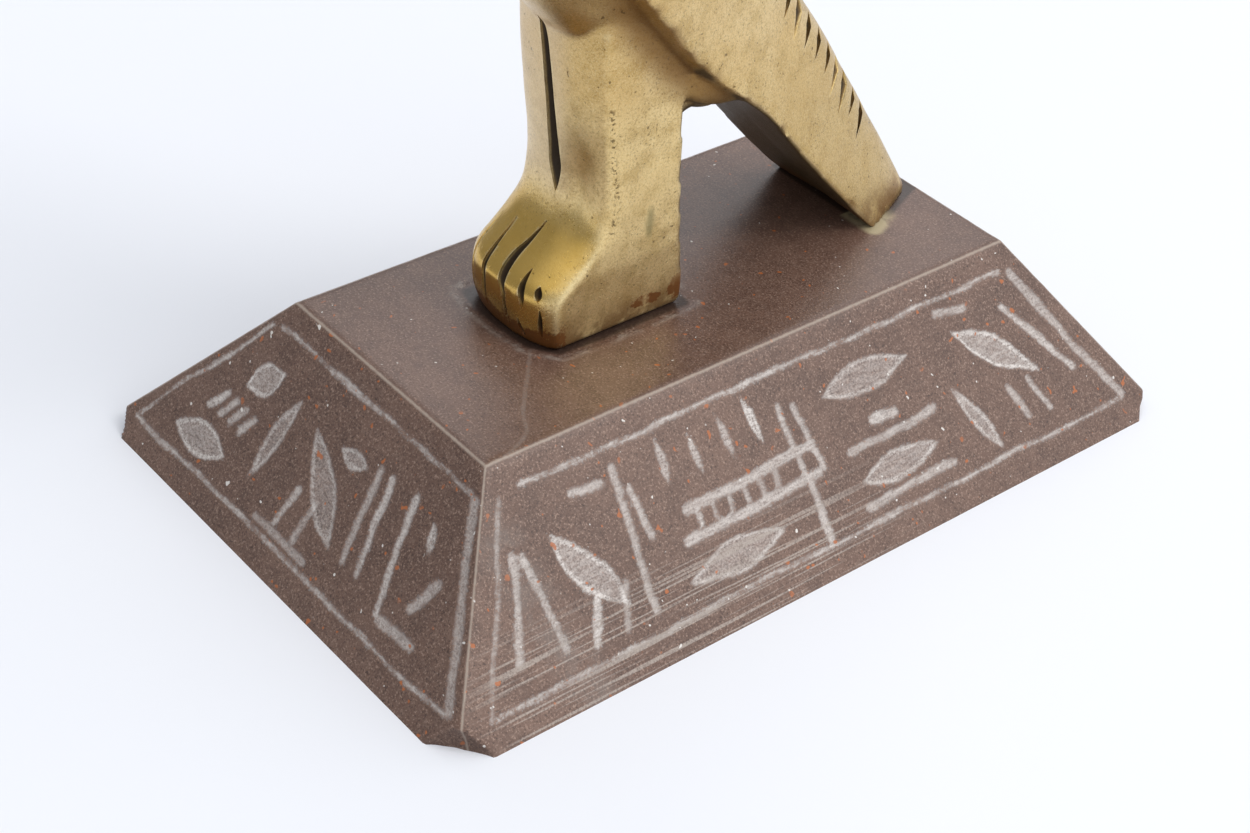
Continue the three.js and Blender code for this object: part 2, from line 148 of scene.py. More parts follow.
# %% Smooth curves
def between(stations, steps):
    """Rows of numbers on a smooth curve through the stations."""
    rows = np.array(stations, float)
    ends = np.vstack([2 * rows[0] - rows[1], rows, 2 * rows[-1] - rows[-2]])
    made = []
    for a, b, c, d in zip(ends[:-3], ends[1:-2], ends[2:-1], ends[3:]):
        for t in np.arange(steps) / steps:
            bend = (2 * a - 5 * b + 4 * c - d) * t**2 + (3 * b - a - 3 * c + d) * t**3
            made.append(b + 0.5 * ((c - a) * t + bend))
    made.append(rows[-1])
    return np.array(made)


def smooth(values, low, high):
    """A soft step: 0 at low and 1 at high, either way up."""
    share = np.clip((np.asarray(values, float) - low) / (high - low), 0, 1)
    return share * share * (3 - 2 * share)


leg_curve = between(LEG_ROWS, 6)
print("leg curve through", len(LEG_ROWS), "rows in", len(leg_curve), "steps")

# %% Closed shells
def tube(rings):
    """Vertices and faces of a closed tube through rings of points."""
    rings = np.asarray(rings, float)
    rows, count, _ = rings.shape
    index = np.arange(rows * count).reshape(rows, count)
    after = np.roll(index, -1, axis=1)
    quads = np.stack([index[:-1], after[:-1], after[1:], index[1:]], -1).reshape(-1, 4)
    return rings.reshape(-1, 3), quads.tolist() + [index[0][::-1].tolist(), index[-1].tolist()]


def level_rings(rows, outline):
    """Rings at the rows' heights, each with the outline of its row."""
    rings = []
    for row in rows:
        x, y = outline(row)
        rings.append(np.stack([x, y, np.full_like(x, row[0])], -1))
    return rings


def egg(centre, half, tilt=0, turn=0, segments=40, rings=24):
    """A closed egg: half sizes, then tilted about X and turned about Z, in degrees."""
    lift = np.linspace(-math.pi / 2, math.pi / 2, rings)[1:-1]
    around = np.arange(segments) / segments * 2 * math.pi
    flat = np.cos(lift)[:, None]
    height = np.sin(lift)[:, None] + 0 * flat * around
    ball = np.stack([flat * np.sin(around), -flat * np.cos(around), height], -1)
    turning = Matrix.Rotation(math.radians(turn), 3, "Z") @ Matrix.Rotation(math.radians(tilt), 3, "X")
    verts, faces = tube(ball * np.array(half))
    return verts @ np.array(turning).T + np.array(centre), faces


def together(shells):
    """Several shells as one list of vertices and one of faces."""
    verts, faces, start = [], [], 0
    for shell_verts, shell_faces in shells:
        verts.append(shell_verts)
        faces += [[start + i for i in face] for face in shell_faces]
        start += len(shell_verts)
    return np.vstack(verts), faces


print("an egg has", len(egg((0, 0, 0), (1, 1, 1))[0]), "points")

# %% [markdown]
# ## Meshes and arrays
# The finish follows wear, dirt and painted shade, so heights, distances and hollows are worked out at every
# point of a mesh. Blender's foreach calls pass whole arrays, which is far faster than a loop over vertices.

# %% Objects
def make_object(name, verts, faces):
    """A mesh object from points in millimetres."""
    mesh = bpy.data.meshes.new(name)
    mesh.from_pydata((np.asarray(verts) * MM).tolist(), [], faces)
    obj = bpy.data.objects.new(name, mesh)
    bpy.context.scene.collection.objects.link(obj)
    return obj


def settle(obj):
    """Turns the object's modifiers into plain mesh."""
    graph = bpy.context.evaluated_depsgraph_get()
    made = bpy.data.meshes.new_from_object(obj.evaluated_get(graph))
    obj.modifiers.clear()
    old, obj.data = obj.data, made
    bpy.data.meshes.remove(old)
    return obj


def remove(obj):
    data = obj.data
    bpy.data.objects.remove(obj)
    bpy.data.meshes.remove(data)


# %% Arrays of a mesh
def points_of(mesh):
    flat = np.empty(len(mesh.vertices) * 3)
    mesh.vertices.foreach_get("co", flat)
    return flat.reshape(-1, 3) / MM


def set_points(mesh, points):
    mesh.vertices.foreach_set("co", (points * MM).ravel())
    mesh.update()


def normals_of(mesh):
    flat = np.empty(len(mesh.vertices) * 3)
    mesh.vertex_normals.foreach_get("vector", flat)
    return flat.reshape(-1, 3)


def edges_of(mesh):
    flat = np.empty(len(mesh.edges) * 2, np.int32)
    mesh.edges.foreach_get("vertices", flat)
    return flat.reshape(-1, 2)


def paint(mesh, name, values):
    """Stores one number for each vertex under a name that a material can read."""
    layer = mesh.attributes.new(name, "FLOAT", "POINT")
    layer.data.foreach_set("value", np.asarray(values, np.float32).ravel())


print("vertices of the CAD falcon", len(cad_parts["falcon"].data.vertices))

# %% Softening and distances
def blur(values, edges, rounds, pull=0.5):
    """Each vertex value moves towards the mean of its neighbours', round after round."""
    values = np.array(values, float).reshape(len(values), -1)
    here = np.concatenate([edges[:, 0], edges[:, 1]])
    there = np.concatenate([edges[:, 1], edges[:, 0]])
    count = np.maximum(np.bincount(here, minlength=len(values)), 1)
    for _ in range(rounds):
        for k in range(values.shape[1]):
            mean = np.bincount(here, values[there, k], len(values)) / count
            values[:, k] += pull * (mean - values[:, k])
    return values


def chain(count):
    """Edges that join points in a row."""
    return np.stack([np.arange(count - 1), np.arange(1, count)], -1)


FAR = 99.0


def segment_distance(px, py, start, end):
    """Distance to a straight line, and the share of its length at the nearest place."""
    run_x, run_y = end[0] - start[0], end[1] - start[1]
    share = ((px - start[0]) * run_x + (py - start[1]) * run_y) / (run_x**2 + run_y**2)
    share = np.clip(share, 0, 1)
    return np.hypot(px - start[0] - share * run_x, py - start[1] - share * run_y), share


def line_distance(px, py, stations):
    """Distance to a smooth line through the stations."""
    path = between(stations, 6)
    nearest = np.full(len(px), FAR)
    for start, end in zip(path[:-1], path[1:]):
        nearest = np.minimum(nearest, segment_distance(px, py, start, end)[0])
    return nearest


def cloud(points, size, seed):
    """Smooth noise at each point, about -1 to 1, with lumps of that size."""
    shift = Vector((seed * 7.3, seed * 3.1, seed * 5.7))
    return np.array([noise.noise(Vector(p) / size + shift) for p in points])


print("distance of (1, 1) to a line on the x axis", segment_distance(1, 1, (0, 0), (2, 0)))

# %% [markdown]
# ## The falcon's form
# On the real bird the legs, breast, wings and head are one casting, and flow into each other. One mesh
# could be pulled into shape, but its faces would stretch. Here each part is a closed shell of its own,
# and a voxel remesh joins them all into one skin with faces of even size, which the cuts need.

# %% Outline of the legs
def leg_outline(row):
    """A block with a bowed front: x and y all round at one height."""
    _, front, back, half, set_back, corner_back = row
    front_steps, side_steps = 65, 24
    x = np.linspace(-half, half, front_steps)
    y = front + set_back * np.abs(x / half) ** 3
    side_y = np.linspace(front + corner_back, back, side_steps)
    back_x = np.linspace(half, -half, side_steps)[1:-1]
    return (
        np.concatenate([x, np.full(side_steps, half), back_x, np.full(side_steps, -half)]),
        np.concatenate([y, side_y, np.full(len(back_x), back), side_y[::-1]]),
    )


print("leg outline", len(leg_outline(LEG_ROWS[0])[0]), "points")

# %% Outlines of breast and wings
def around(count):
    return np.arange(count) / count * 2 * math.pi


def breast_outline(row):
    """A rounded, slightly square section."""
    _, front, back, half, square = row
    turn = around(128)
    across = np.sign(np.sin(turn)) * np.abs(np.sin(turn)) ** (2 / square)
    ahead = np.sign(np.cos(turn)) * np.abs(np.cos(turn)) ** (2 / square)
    centre = (front + back) / 2
    return across * half, centre - ahead * (back - front) / 2


def wing_side(row, share):
    """A point on the wing's side, from its lower front edge (0) to the middle of the back (1)."""
    _, edge, back, half, square, taper = row
    behind = np.sin(share * math.pi / 2) ** (2 / square)
    across = (1 - taper * behind) * np.maximum(np.cos(share * math.pi / 2), 0) ** (2 / square)
    return half * across, edge + (back - edge) * behind


def wing_outline(row):
    """Both wings and the back in one section, with a shallow dip between the front edges."""
    x, y = wing_side(row, np.linspace(0, 1, 60))
    dip = 0.5
    return (
        np.concatenate([[0], x, -x[-2::-1]]),
        np.concatenate([[row[1] + dip], y, y[-2::-1]]),
    )


print("wing outline", len(wing_outline(WING_ROWS[0])[0]), "points")

# %% Skull and beak
def skull():
    """An egg with a flattened crown."""
    verts, faces = egg((0, 0, 0), (1, 1, 1), segments=96, rings=64)
    z = verts[:, 2]
    verts[:, 2] = np.where(z > 0, HEAD["crown"] * z + (1 - HEAD["crown"]) * z**4, z)
    verts *= [HEAD["across"], HEAD["along"], HEAD["up"]]
    return verts + [0, HEAD["y"], HEAD["z"]], faces


def beak():
    """The hooked side view, narrowed to the tip, with a ridge along the middle."""
    count = len(BEAK_OUTLINE)
    loop = between([BEAK_OUTLINE[i % count] for i in range(-1, count + 2)], 8)[8:-9]
    rings = []
    for side in np.linspace(-1, 1, 13):
        share = np.clip((loop[:, 0] - BEAK["root"]) / (BEAK["tip"] - BEAK["root"]), 0, 1)
        half = BEAK["root_half"] + (BEAK["tip_half"] - BEAK["root_half"]) * share**2
        ridge = BEAK["ridge"] * (1 - side**2)
        z = loop[:, 1] + ridge * np.sign(loop[:, 1] - BEAK["gape"])
        rings.append(np.stack([side * half, loop[:, 0] - ridge + HEAD["y"], z + HEAD["z"]], -1))
    return tube(rings)


print("beak", len(beak()[0]), "points")

# %% Eyes, brows and cheeks
def face():
    shells = []
    for side in (-1, 1):
        for part in (EYE, BROW, CHEEK):
            centre = (side * part["aside"], HEAD["y"] - part["ahead"], HEAD["z"] + part["above"])
            shells.append(egg(centre, part["half"], part["tilt"], -side * part["turn"]))
    return shells


print("face", len(face()), "eggs")

# %% [markdown]
# Behind the legs the light shines through an arch under the belly. Its roof is a flat egg, each flank has
# a slim one, and a thick bar behind the legs rounds the inner corner. Eggs were chosen because the remesh
# blends them into the belly without a seam.

# %% Belly over the arch
WEB = dict(y=-0.4, z=23.3, half=(5.8, 5.6, 2.6), tilt=-24)
FLANK = dict(aside=6.3, y=0.9, z=25.4, half=(1.6, 5.6, 2.9), tilt=-10)
BAR = dict(y=-3.5, z=23.5)
BAR_RADII = [(-5.9, 0.3), (-5.5, 1.5), (-4.6, 2.1), (0, 2.4), (4.6, 2.1), (5.5, 1.5), (5.9, 0.3)]


def arch_corner():
    """A round bar behind the legs, under the roof of the arch, that stops inside both flanks."""
    turn = around(32)
    return tube([
        np.stack([0 * turn + x, BAR["y"] + radius * np.cos(turn), BAR["z"] + radius * np.sin(turn)], -1)
        for x, radius in between(BAR_RADII, 4)
    ])


arch = [
    egg((0, WEB["y"], WEB["z"]), WEB["half"], WEB["tilt"]),
    arch_corner(),
    *[egg((side * FLANK["aside"], FLANK["y"], FLANK["z"]), FLANK["half"], FLANK["tilt"]) for side in (-1, 1)],
]
print("arch", len(arch), "shells")

# %% One casting
VOXEL = 0.38
shells = [
    tube(level_rings(leg_curve, leg_outline)),
    tube(level_rings(between(BREAST_ROWS, 8), breast_outline)),
    tube(level_rings(between(WING_ROWS, 8), wing_outline)),
    *arch,
    skull(),
    beak(),
    *face(),
]
falcon = make_object("falcon_casting", *together(shells))
remesh = falcon.modifiers.new("one casting", "REMESH")
remesh.mode = "VOXEL"
remesh.voxel_size = VOXEL * MM
settle(falcon)
mesh = falcon.data
points, edges = points_of(mesh), edges_of(mesh)
print("casting", len(mesh.vertices), "vertices")

# %% [markdown]
# The remesh leaves small steps, and joints that are too sharp for a filed casting. A Smooth modifier would
# shrink the whole bird. So the points are first pulled in and pushed out again by turns, which keeps the
# size, and then only the places that a file has rounded are softened further.

# %% Soft joints
INWARD, OUTWARD, TURNS = 0.5, -0.53, 8
for pull in (INWARD, OUTWARD) * TURNS:
    points = blur(points, edges, 1, pull)
aside, y, z = np.abs(points[:, 0]), points[:, 1], points[:, 2]
wing_front = [(row[1], row[0]) for row in WING_ROWS[5:-2]]
tail_front = [(row[1], row[0]) for row in WING_ROWS[:8]]
at_wing = smooth(line_distance(y, z, wing_front), 5.5, 1.5) * smooth(z, 24, 28.5)
at_leg = 0.8 * smooth(z, 9.5, 14) * smooth(z, 36, 32) * smooth(y, -5, -8)
at_tail = smooth(line_distance(y, z, tail_front), 3.5, 1) * smooth(z, 1.5, 5)
at_face = smooth(z, 90, 92) * smooth(aside, 5.5, 7)
at_corner = smooth(np.hypot(y + 3.3, z - 22.6), 3.2, 1.6) * smooth(aside, 6.4, 5.8)
for share, rounds in ((at_wing, 34), (at_leg, 50), (at_tail, 10), (at_face, 8), (at_corner, 25)):
    points += share[:, None] * (blur(points, edges, rounds) - points)
print("softened", points.min(0).round(1), points.max(0).round(1))

# %% Dent on the shin
DENT_CENTRE, DENT_HALF = [3.9, -14.9, 16.2], [1.4, 2.4, 4.4]
DENT_PUSH = [-0.15, 0.6, 0]
dent = np.exp(-(((points - DENT_CENTRE) / DENT_HALF) ** 2).sum(1))
points += dent[:, None] * DENT_PUSH
points[:, 2] = np.maximum(points[:, 2], 0)
set_points(mesh, points)
print("dented points", int((dent > 0.5).sum()))

# %% [markdown]
# ## Hand work on the falcon
# A file leaves the brass a little wavy. A Displace modifier could do that, but noise added to the points
# keeps the feet flat on the stone, because it can fade out there.

# %% Uneven filing
normals = normals_of(mesh)
lumps = 0.09 * cloud(points, 6.5, 1) + 0.03 * cloud(points, 1.9, 2)
resting = smooth(points[:, 2], 0.1, 1.2)[:, None]
points = points + normals * lumps[:, None] * resting
set_points(mesh, points)
print("filing", round(float(np.abs(lumps).max()), 3), "mm at most")

# %% [markdown]
# A long slit parts the two legs in front, and short grooves part the toes. They were cut with a graver,
# which leaves a V that comes up to nothing at both ends. A bump map would look flat from the side. So a
# V-shaped cutter is swept along the surface for each groove, and taken out of the casting by a boolean.

# %% A cutter that follows the surface
tree = BVHTree.FromPolygons([tuple(p) for p in points], [tuple(f.vertices) for f in mesh.polygons])
AHEAD = -52
BACKWARDS = Vector((0, 1, 0))


def on_front(x, z):
    """The casting's surface seen from the front at x and z: (place, outward normal)."""
    place, normal, _, _ = tree.ray_cast(Vector((x, AHEAD, z)), BACKWARDS)
    return np.array(place), np.array(normal)


def gouge(stations, steps=6):
    """A cutter with a V section. Stations: x, z, half width, depth; the surface gives y."""
    rings = []
    path = between(stations, steps)
    hits = [on_front(x, z) for x, z, _, _ in path]
    places = np.array([place for place, _ in hits])
    outward = blur([normal for _, normal in hits], chain(len(path)), 3)
    along = np.gradient(places, axis=0)
    rim, shoulder, shoulder_depth = 0.5, 0.8, 0.35
    for place, out, run, (_, _, half, depth) in zip(places, outward, along, path):
        out = out / np.linalg.norm(out)
        across = np.cross(out, run)
        across /= np.linalg.norm(across)
        rings.append([
            place - across * half + rim * out,
            place - across * half * shoulder - out * depth * shoulder_depth,
            place - out * depth,
            place + across * half * shoulder - out * depth * shoulder_depth,
            place + across * half + rim * out,
        ])
    return tube(rings)


print("front of the legs at 20 mm", on_front(0, 20)[0].round(2))

# %% Slit and toe grooves
SLIT = [
    (-1.15, 34, 0.08, 0.1), (-0.9, 32.4, 0.6, 1.0), (-0.45, 29, 0.72, 1.5), (-0.1, 24.5, 0.8, 1.7),
    (0.1, 20, 0.92, 1.8), (0.2, 17.6, 1.05, 1.8), (0.42, 15.8, 0.6, 0.9), (0.6, 14.6, 0.08, 0.1),
]
TOES = [
    [(-5.7, 9.4, 0.06, 0.1), (-5.6, 7.8, 0.26, 0.5), (-5.3, 6, 0.36, 0.8), (-5.1, 4.6, 0.36, 0.7),
     (-5, 2.6, 0.3, 0.6), (-4.9, 1.2, 0.06, 0.1)],
    [(-2.9, 10.4, 0.06, 0.1), (-2.8, 8.6, 0.24, 0.5), (-2.5, 6.6, 0.4, 1.0), (-2.2, 5, 0.42, 1.0),
     (-2.1, 3, 0.34, 0.6), (-2, 1.6, 0.06, 0.1)],
    [(0.9, 11.6, 0.06, 0.1), (0.5, 9.8, 0.3, 0.6), (0.2, 8.2, 0.55, 1.2), (0.6, 6.4, 0.6, 1.2),
     (1.2, 4.6, 0.3, 0.7), (1.4, 2.2, 0.28, 0.5), (1.5, 1.2, 0.06, 0.1)],
    [(3, 8.2, 0.05, 0.1), (3.1, 7.5, 0.26, 0.5), (3.4, 6.4, 0.46, 0.9), (3.7, 5.5, 0.32, 0.6),
     (3.8, 4.6, 0.06, 0.1)],
    [(4.9, 7.2, 0.08, 0.1), (5, 6.8, 0.42, 0.6), (5.2, 6.3, 0.42, 0.6), (5.3, 5.8, 0.08, 0.1)],
    [(5.6, 4.9, 0.05, 0.1), (5.7, 3.8, 0.26, 0.5), (5.7, 2.6, 0.28, 0.5), (5.7, 1.6, 0.05, 0.1)],
    [(3.2, 3, 0.05, 0.1), (3.3, 1.9, 0.34, 0.6), (3.4, 1.1, 0.34, 0.5), (3.5, 0.5, 0.05, 0.1)],
]
gouges = [gouge(SLIT)] + [gouge(toe) for toe in TOES]
cutter = make_object("gouges", *together(gouges))
print("gouges", len(gouges))

# %% [markdown]
# Slanting cuts down each back edge stand for feathers. They are alike and follow a line, which is work for
# Geometry Nodes: the tree resamples the edge at the pitch and puts a thin blade at each point, turned into
# the edge. A hand never repeats itself, so the turn and size of the blades vary a little, by fixed seeds.

# %% Tree that places the cuts
TURN_SEED, SIZE_SEED = 5, 9
TURN_LEAST, TURN_MOST = -0.14, 0.14
SIZE_LEAST, SIZE_MOST = 0.75, 1.2


def blade_tree(material):
    """Blades along a line of points that carry the attributes stroke and inward."""
    group = bpy.data.node_groups.new("back edge cuts", "GeometryNodeTree")
    face_in = group.interface
    face_in.new_socket("Geometry", in_out="INPUT", socket_type="NodeSocketGeometry")
    face_in.new_socket("Pitch", in_out="INPUT", socket_type="NodeSocketFloat")
    face_in.new_socket("Blade", in_out="INPUT", socket_type="NodeSocketVector")
    face_in.new_socket("Geometry", in_out="OUTPUT", socket_type="NodeSocketGeometry")

    def add(kind, **links):
        made = group.nodes.new(kind)
        for name, value in links.items():
            socket = made.inputs[name.replace("_", " ")]
            if isinstance(value, bpy.types.NodeSocket):
                group.links.new(value, socket)
            else:
                socket.default_value = value
        return made

    def chance(least, most, seed):
        made = add("FunctionNodeRandomValue", Seed=seed)
        made.data_type = "FLOAT"
        made.inputs[2].default_value, made.inputs[3].default_value = least, most
        return made.outputs[1]

    given = group.nodes.new("NodeGroupInput")
    curve = add("GeometryNodeMeshToCurve", Mesh=given.outputs["Geometry"])
    spaced = group.nodes.new("GeometryNodeResampleCurve")
    spaced.mode = "LENGTH"
    group.links.new(curve.outputs[0], spaced.inputs["Curve"])
    group.links.new(given.outputs["Pitch"], spaced.inputs["Length"])
    ball = add("GeometryNodeMeshUVSphere", Segments=4, Rings=2, Radius=1.0)
    facing = group.nodes.new("FunctionNodeAxesToRotation")
    facing.primary_axis, facing.secondary_axis = "Z", "X"
    for name, socket in (("stroke", "Primary Axis"), ("inward", "Secondary Axis")):
        stored = group.nodes.new("GeometryNodeInputNamedAttribute")
        stored.data_type = "FLOAT_VECTOR"
        stored.inputs["Name"].default_value = name
        group.links.new(stored.outputs[0], facing.inputs[socket])
    angle = chance(TURN_LEAST, TURN_MOST, TURN_SEED)
    about = add("FunctionNodeAxisAngleToRotation", Axis=(1, 0, 0), Angle=angle)
    turned = group.nodes.new("FunctionNodeRotateRotation")
    turned.rotation_space = "LOCAL"
    group.links.new(facing.outputs[0], turned.inputs["Rotation"])
    group.links.new(about.outputs[0], turned.inputs["Rotate By"])
    scale = group.nodes.new("ShaderNodeVectorMath")
    scale.operation = "SCALE"
    group.links.new(given.outputs["Blade"], scale.inputs[0])
    group.links.new(chance(SIZE_LEAST, SIZE_MOST, SIZE_SEED), scale.inputs["Scale"])
    placed = add("GeometryNodeInstanceOnPoints", Points=spaced.outputs[0], Instance=ball.outputs["Mesh"],
                 Rotation=turned.outputs[0], Scale=scale.outputs[0])
    real = add("GeometryNodeRealizeInstances", Geometry=placed.outputs[0])
    finished = add("GeometryNodeSetMaterial", Geometry=real.outputs[0])
    finished.inputs["Material"].default_value = material
    result = group.nodes.new("NodeGroupOutput")
    group.links.new(finished.outputs[0], result.inputs[0])
    return group


def set_input(modifier, name, value):
    """Sets a modifier's input by the identifier of the socket with that name."""
    for item in modifier.node_group.interface.items_tree:
        if item.name == name and item.in_out == "INPUT":
            modifier[item.identifier] = value


brass = bpy.data.materials.new("brass")
cut_tree = blade_tree(brass)
print("tree for the cuts", len(cut_tree.nodes), "nodes")

# %% Cuts along the back edges
CUTS_LOW, CUTS_HIGH, CUTS_PITCH = 13, 62, 2.75
CUTS_SHARE, CUTS_INSET = 0.6, 0.9
CUTS_STROKE = (-0.5, 0.6, 0.95)
BLADE = (1.6, 0.7, 3.0)
BLADE_FACES = 8
rows = between(WING_ROWS, 12)
rows = rows[(rows[:, 0] > CUTS_LOW) & (rows[:, 0] < CUTS_HIGH)]
blades = []
for side in (-1, 1):
    line, inward = [], []
    for row in rows:
        x, y = wing_side(row, CUTS_SHARE)
        near = Vector((side * x, y - CUTS_INSET, row[0] - CUTS_INSET / 3))
        place, normal, _, _ = tree.find_nearest(near)
        line.append(tuple(place))
        inward.append(tuple(-normal))
    inward = blur(inward, chain(len(line)), 6)
    guide = make_object("back edge", blur(line, chain(len(line)), 3), [])
    guide.data.edges.add(len(line) - 1)
    guide.data.edges.foreach_set("vertices", chain(len(line)).ravel())
    stroke = np.tile(CUTS_STROKE, (len(line), 1)) * [side, 1, 1]
    for name, vectors in (("inward", inward), ("stroke", stroke)):
        layer = guide.data.attributes.new(name, "FLOAT_VECTOR", "POINT")
        layer.data.foreach_set("vector", np.asarray(vectors, np.float32).ravel())
    nodes = guide.modifiers.new("cuts", "NODES")
    nodes.node_group = cut_tree
    set_input(nodes, "Pitch", CUTS_PITCH * MM)
    set_input(nodes, "Blade", [size * MM for size in BLADE])
    blades.append(settle(guide))
print("cuts", [len(guide.data.polygons) // BLADE_FACES for guide in blades])

# %% Take the cutters out of the casting
for tool in [cutter, *blades]:
    cut = falcon.modifiers.new("cut", "BOOLEAN")
    cut.operation = "DIFFERENCE"
    cut.solver = "MANIFOLD"
    cut.object = tool
settle(falcon)
for tool in [cutter, *blades]:
    remove(tool)
mesh = falcon.data
print("cut casting", len(mesh.vertices), "vertices")

# %% [markdown]
# ## Where the brass is worn, dirty and shaded
# On the real bird, hollows and cuts keep a brown patina, and edges are rubbed bright. Shade in the cuts and
# creases and highlights on the ridges are painted into the colour too. A material can't see that by itself.
# So each point is compared with the mean of its surroundings, which tells a hollow from a ridge, and the
# result is stored on the mesh as an attribute for the material.

# %% Hollows, creases and cuts
points, edges, normals = points_of(mesh), edges_of(mesh), normals_of(mesh)
cut_depth = np.array([tree.find_nearest(Vector(p))[3] for p in points])
hollow = np.einsum("ij,ij->i", blur(points, edges, 50) - points, normals)
crease = np.einsum("ij,ij->i", blur(points, edges, 7) - points, normals)
paint(mesh, "cut", cut_depth)
paint(mesh, "hollow", blur(hollow, edges, 2))
paint(mesh, "crease", crease)
print("hollow", hollow.min().round(2), hollow.max().round(2))

# %% Zones of polish and patina, with painted shade and sheen
x, y, z = points.T
across, back_facing, up_facing = np.abs(normals[:, 0]), normals[:, 1], normals[:, 2]
paint(mesh, "foot", smooth(z, 15, 10.5) * smooth(y, -9, -13) * smooth(across, 0.75, 0.45))
paint(mesh, "low", smooth(z, 5, 0.4))
paint(mesh, "leg", smooth(z, 29, 22) * smooth(y, -1, -2.5))
paint(mesh, "tail", smooth(z, 30, 14) * smooth(y, -1, 5))
# front: faces turned forward, where a pinkish sheen is painted, partly oxide haze and partly painted
# reflection
paint(mesh, "front", smooth(-back_facing, 0.5, 0.9) * smooth(x, 4, 0) * smooth(z, 12, 17))
wing_y, wing_z = np.array([(row[1], row[0]) for row in between(WING_ROWS, 6)]).T
# painted shade: band is a brown strip under the wing's lower edge, where the overhang shades the thigh
below_wing = smooth(z - np.interp(y, wing_y[::-1], wing_z[::-1]), 0.6, -0.6) * smooth(z, 21, 25)
band = smooth(line_distance(y, z, wing_front), 5, 1.2) * below_wing * smooth(across, 0.25, 0.6)
paint(mesh, "band", band)
print("points in the brown band", int((band > 0.5).sum()))

# %% Painted shade under the arch and the tail
behind_legs = smooth(back_facing, 0.1, 0.4) * smooth(y, -1, -1.6) * smooth(z, 27, 25.5)
roof = smooth(up_facing, -0.15, -0.5) * smooth(y, -4.8, -3.8) * smooth(z, 34, 28)
bar = smooth(np.hypot(y - BAR["y"], z - BAR["z"]), 3.4, 2.4) * smooth(np.abs(x), 6.4, 6)
tail_under = 0.6 * smooth(up_facing, -0.2, -0.5) * smooth(y, 3, 6) * smooth(z, 30, 20)
arch_shade = np.maximum(behind_legs, roof) * smooth(across, 0.8, 0.55)
under = np.maximum(arch_shade, np.maximum(bar, tail_under))
# under: where shade is painted, dark under the arch, behind the legs and under the tail
paint(mesh, "under", under)
print("points under the arch", int((under > 0.5).sum()))

# %% Spots seen on the near side
def spot(centre, half):
    """1 in the middle of a patch on the casting, 0 outside it."""
    return smooth((((points - centre) / half) ** 2).sum(1), 1, 0.2)


PORES = [(-13.6, 26), (-12.8, 20), (-12, 15), (-12.6, 11.5)]
paint(mesh, "scar", spot((6.9, -7.6, 11.7), (1.2, 0.7, 2.3)))
toe_grime = 0.75 * smooth(z, 5.5, 1.5) * smooth(y, -16.5, -19)
heel_grime = spot((7, -7.4, 2.2), (2, 2.6, 1.1)) + spot((7, -3.2, 2.6), (2, 1.6, 2.4))
paint(mesh, "grime", toe_grime + heel_grime)
paint(mesh, "pit_line", smooth(x, 5.5, 6.2) * smooth(line_distance(y, z, PORES), 0.35, 0.05))
print("points with grime", int((toe_grime + heel_grime > 0.5).sum()))

# %% Place on the stone and smooth shading
set_points(mesh, points + FALCON_PLACE)
mesh.polygons.foreach_set("material_index", np.zeros(len(mesh.polygons), np.int32))
mesh.materials.clear()
mesh.materials.append(brass)
mesh.polygons.foreach_set("use_smooth", np.ones(len(mesh.polygons), bool))
mesh.set_sharp_from_angle(angle=math.radians(50))
print("falcon", sum(len(face.vertices) - 2 for face in mesh.polygons), "triangles")

# %% [markdown]
# ## Shader maths
# A finish is mostly sums: how dirty, how rough, how bright. Drawn as nodes, such sums are hard to read. So
# a wire wraps one socket, and adding, taking away or multiplying wires adds the Math nodes. Every other
# node comes from one method that takes its type, its settings and its inputs.

# %% Wires
def plug(tree, socket, value):
    """Links a wire to the socket, or sets a plain value."""
    if isinstance(value, Wire):
        tree.links.new(value.socket, socket)
    else:
        socket.default_value = value


class Wire:
    """A socket of one node tree, with arithmetic."""

    def __init__(self, tree, socket):
        self.tree, self.socket = tree, socket

    def node(self, kind, settings, inputs, output=0):
        """A new node. Its settings come first, and then its inputs, by name or by place."""
        made = self.tree.nodes.new(kind)
        for name, value in settings.items():
            setattr(made, name, value)
        for name, value in inputs.items():
            plug(self.tree, made.inputs[name], value)
        return Wire(self.tree, made.outputs[output])

    def maths(self, operation, first, second=0.0, clamp=False):
        settings = {"operation": operation, "use_clamp": clamp}
        return self.node("ShaderNodeMath", settings, {0: first, 1: second})

    def __add__(self, other):
        return self.maths("ADD", self, other)

    def __sub__(self, other):
        return self.maths("SUBTRACT", self, other)

    def __rsub__(self, other):
        return self.maths("SUBTRACT", other, self)

    def __mul__(self, other):
        return self.maths("MULTIPLY", self, other)

    def __neg__(self):
        return self * -1.0

    def __abs__(self):
        return self.maths("ABSOLUTE", self)

    __radd__, __rmul__ = __add__, __mul__

    def clamp(self):
        return self.maths("ADD", self, clamp=True)

    def step(self, low, high):
        """0 at low and 1 at high, softly, either way up."""
        return self.node("ShaderNodeMapRange", {"interpolation_type": "SMOOTHSTEP"}, {
            "Value": self, "From Min": low, "From Max": high,
        })


print("wire operators", [name for name in vars(Wire) if name.startswith("__r")])

# %% Finishes
def colour(code):
    """A colour of the screen, such as c9b27c, as linear light."""
    parts = [int(code[i:i + 2], 16) / 255 for i in (0, 2, 4)]
    return (*[((c + 0.055) / 1.055) ** 2.4 if c > 0.04 else c / 12.92 for c in parts], 1)


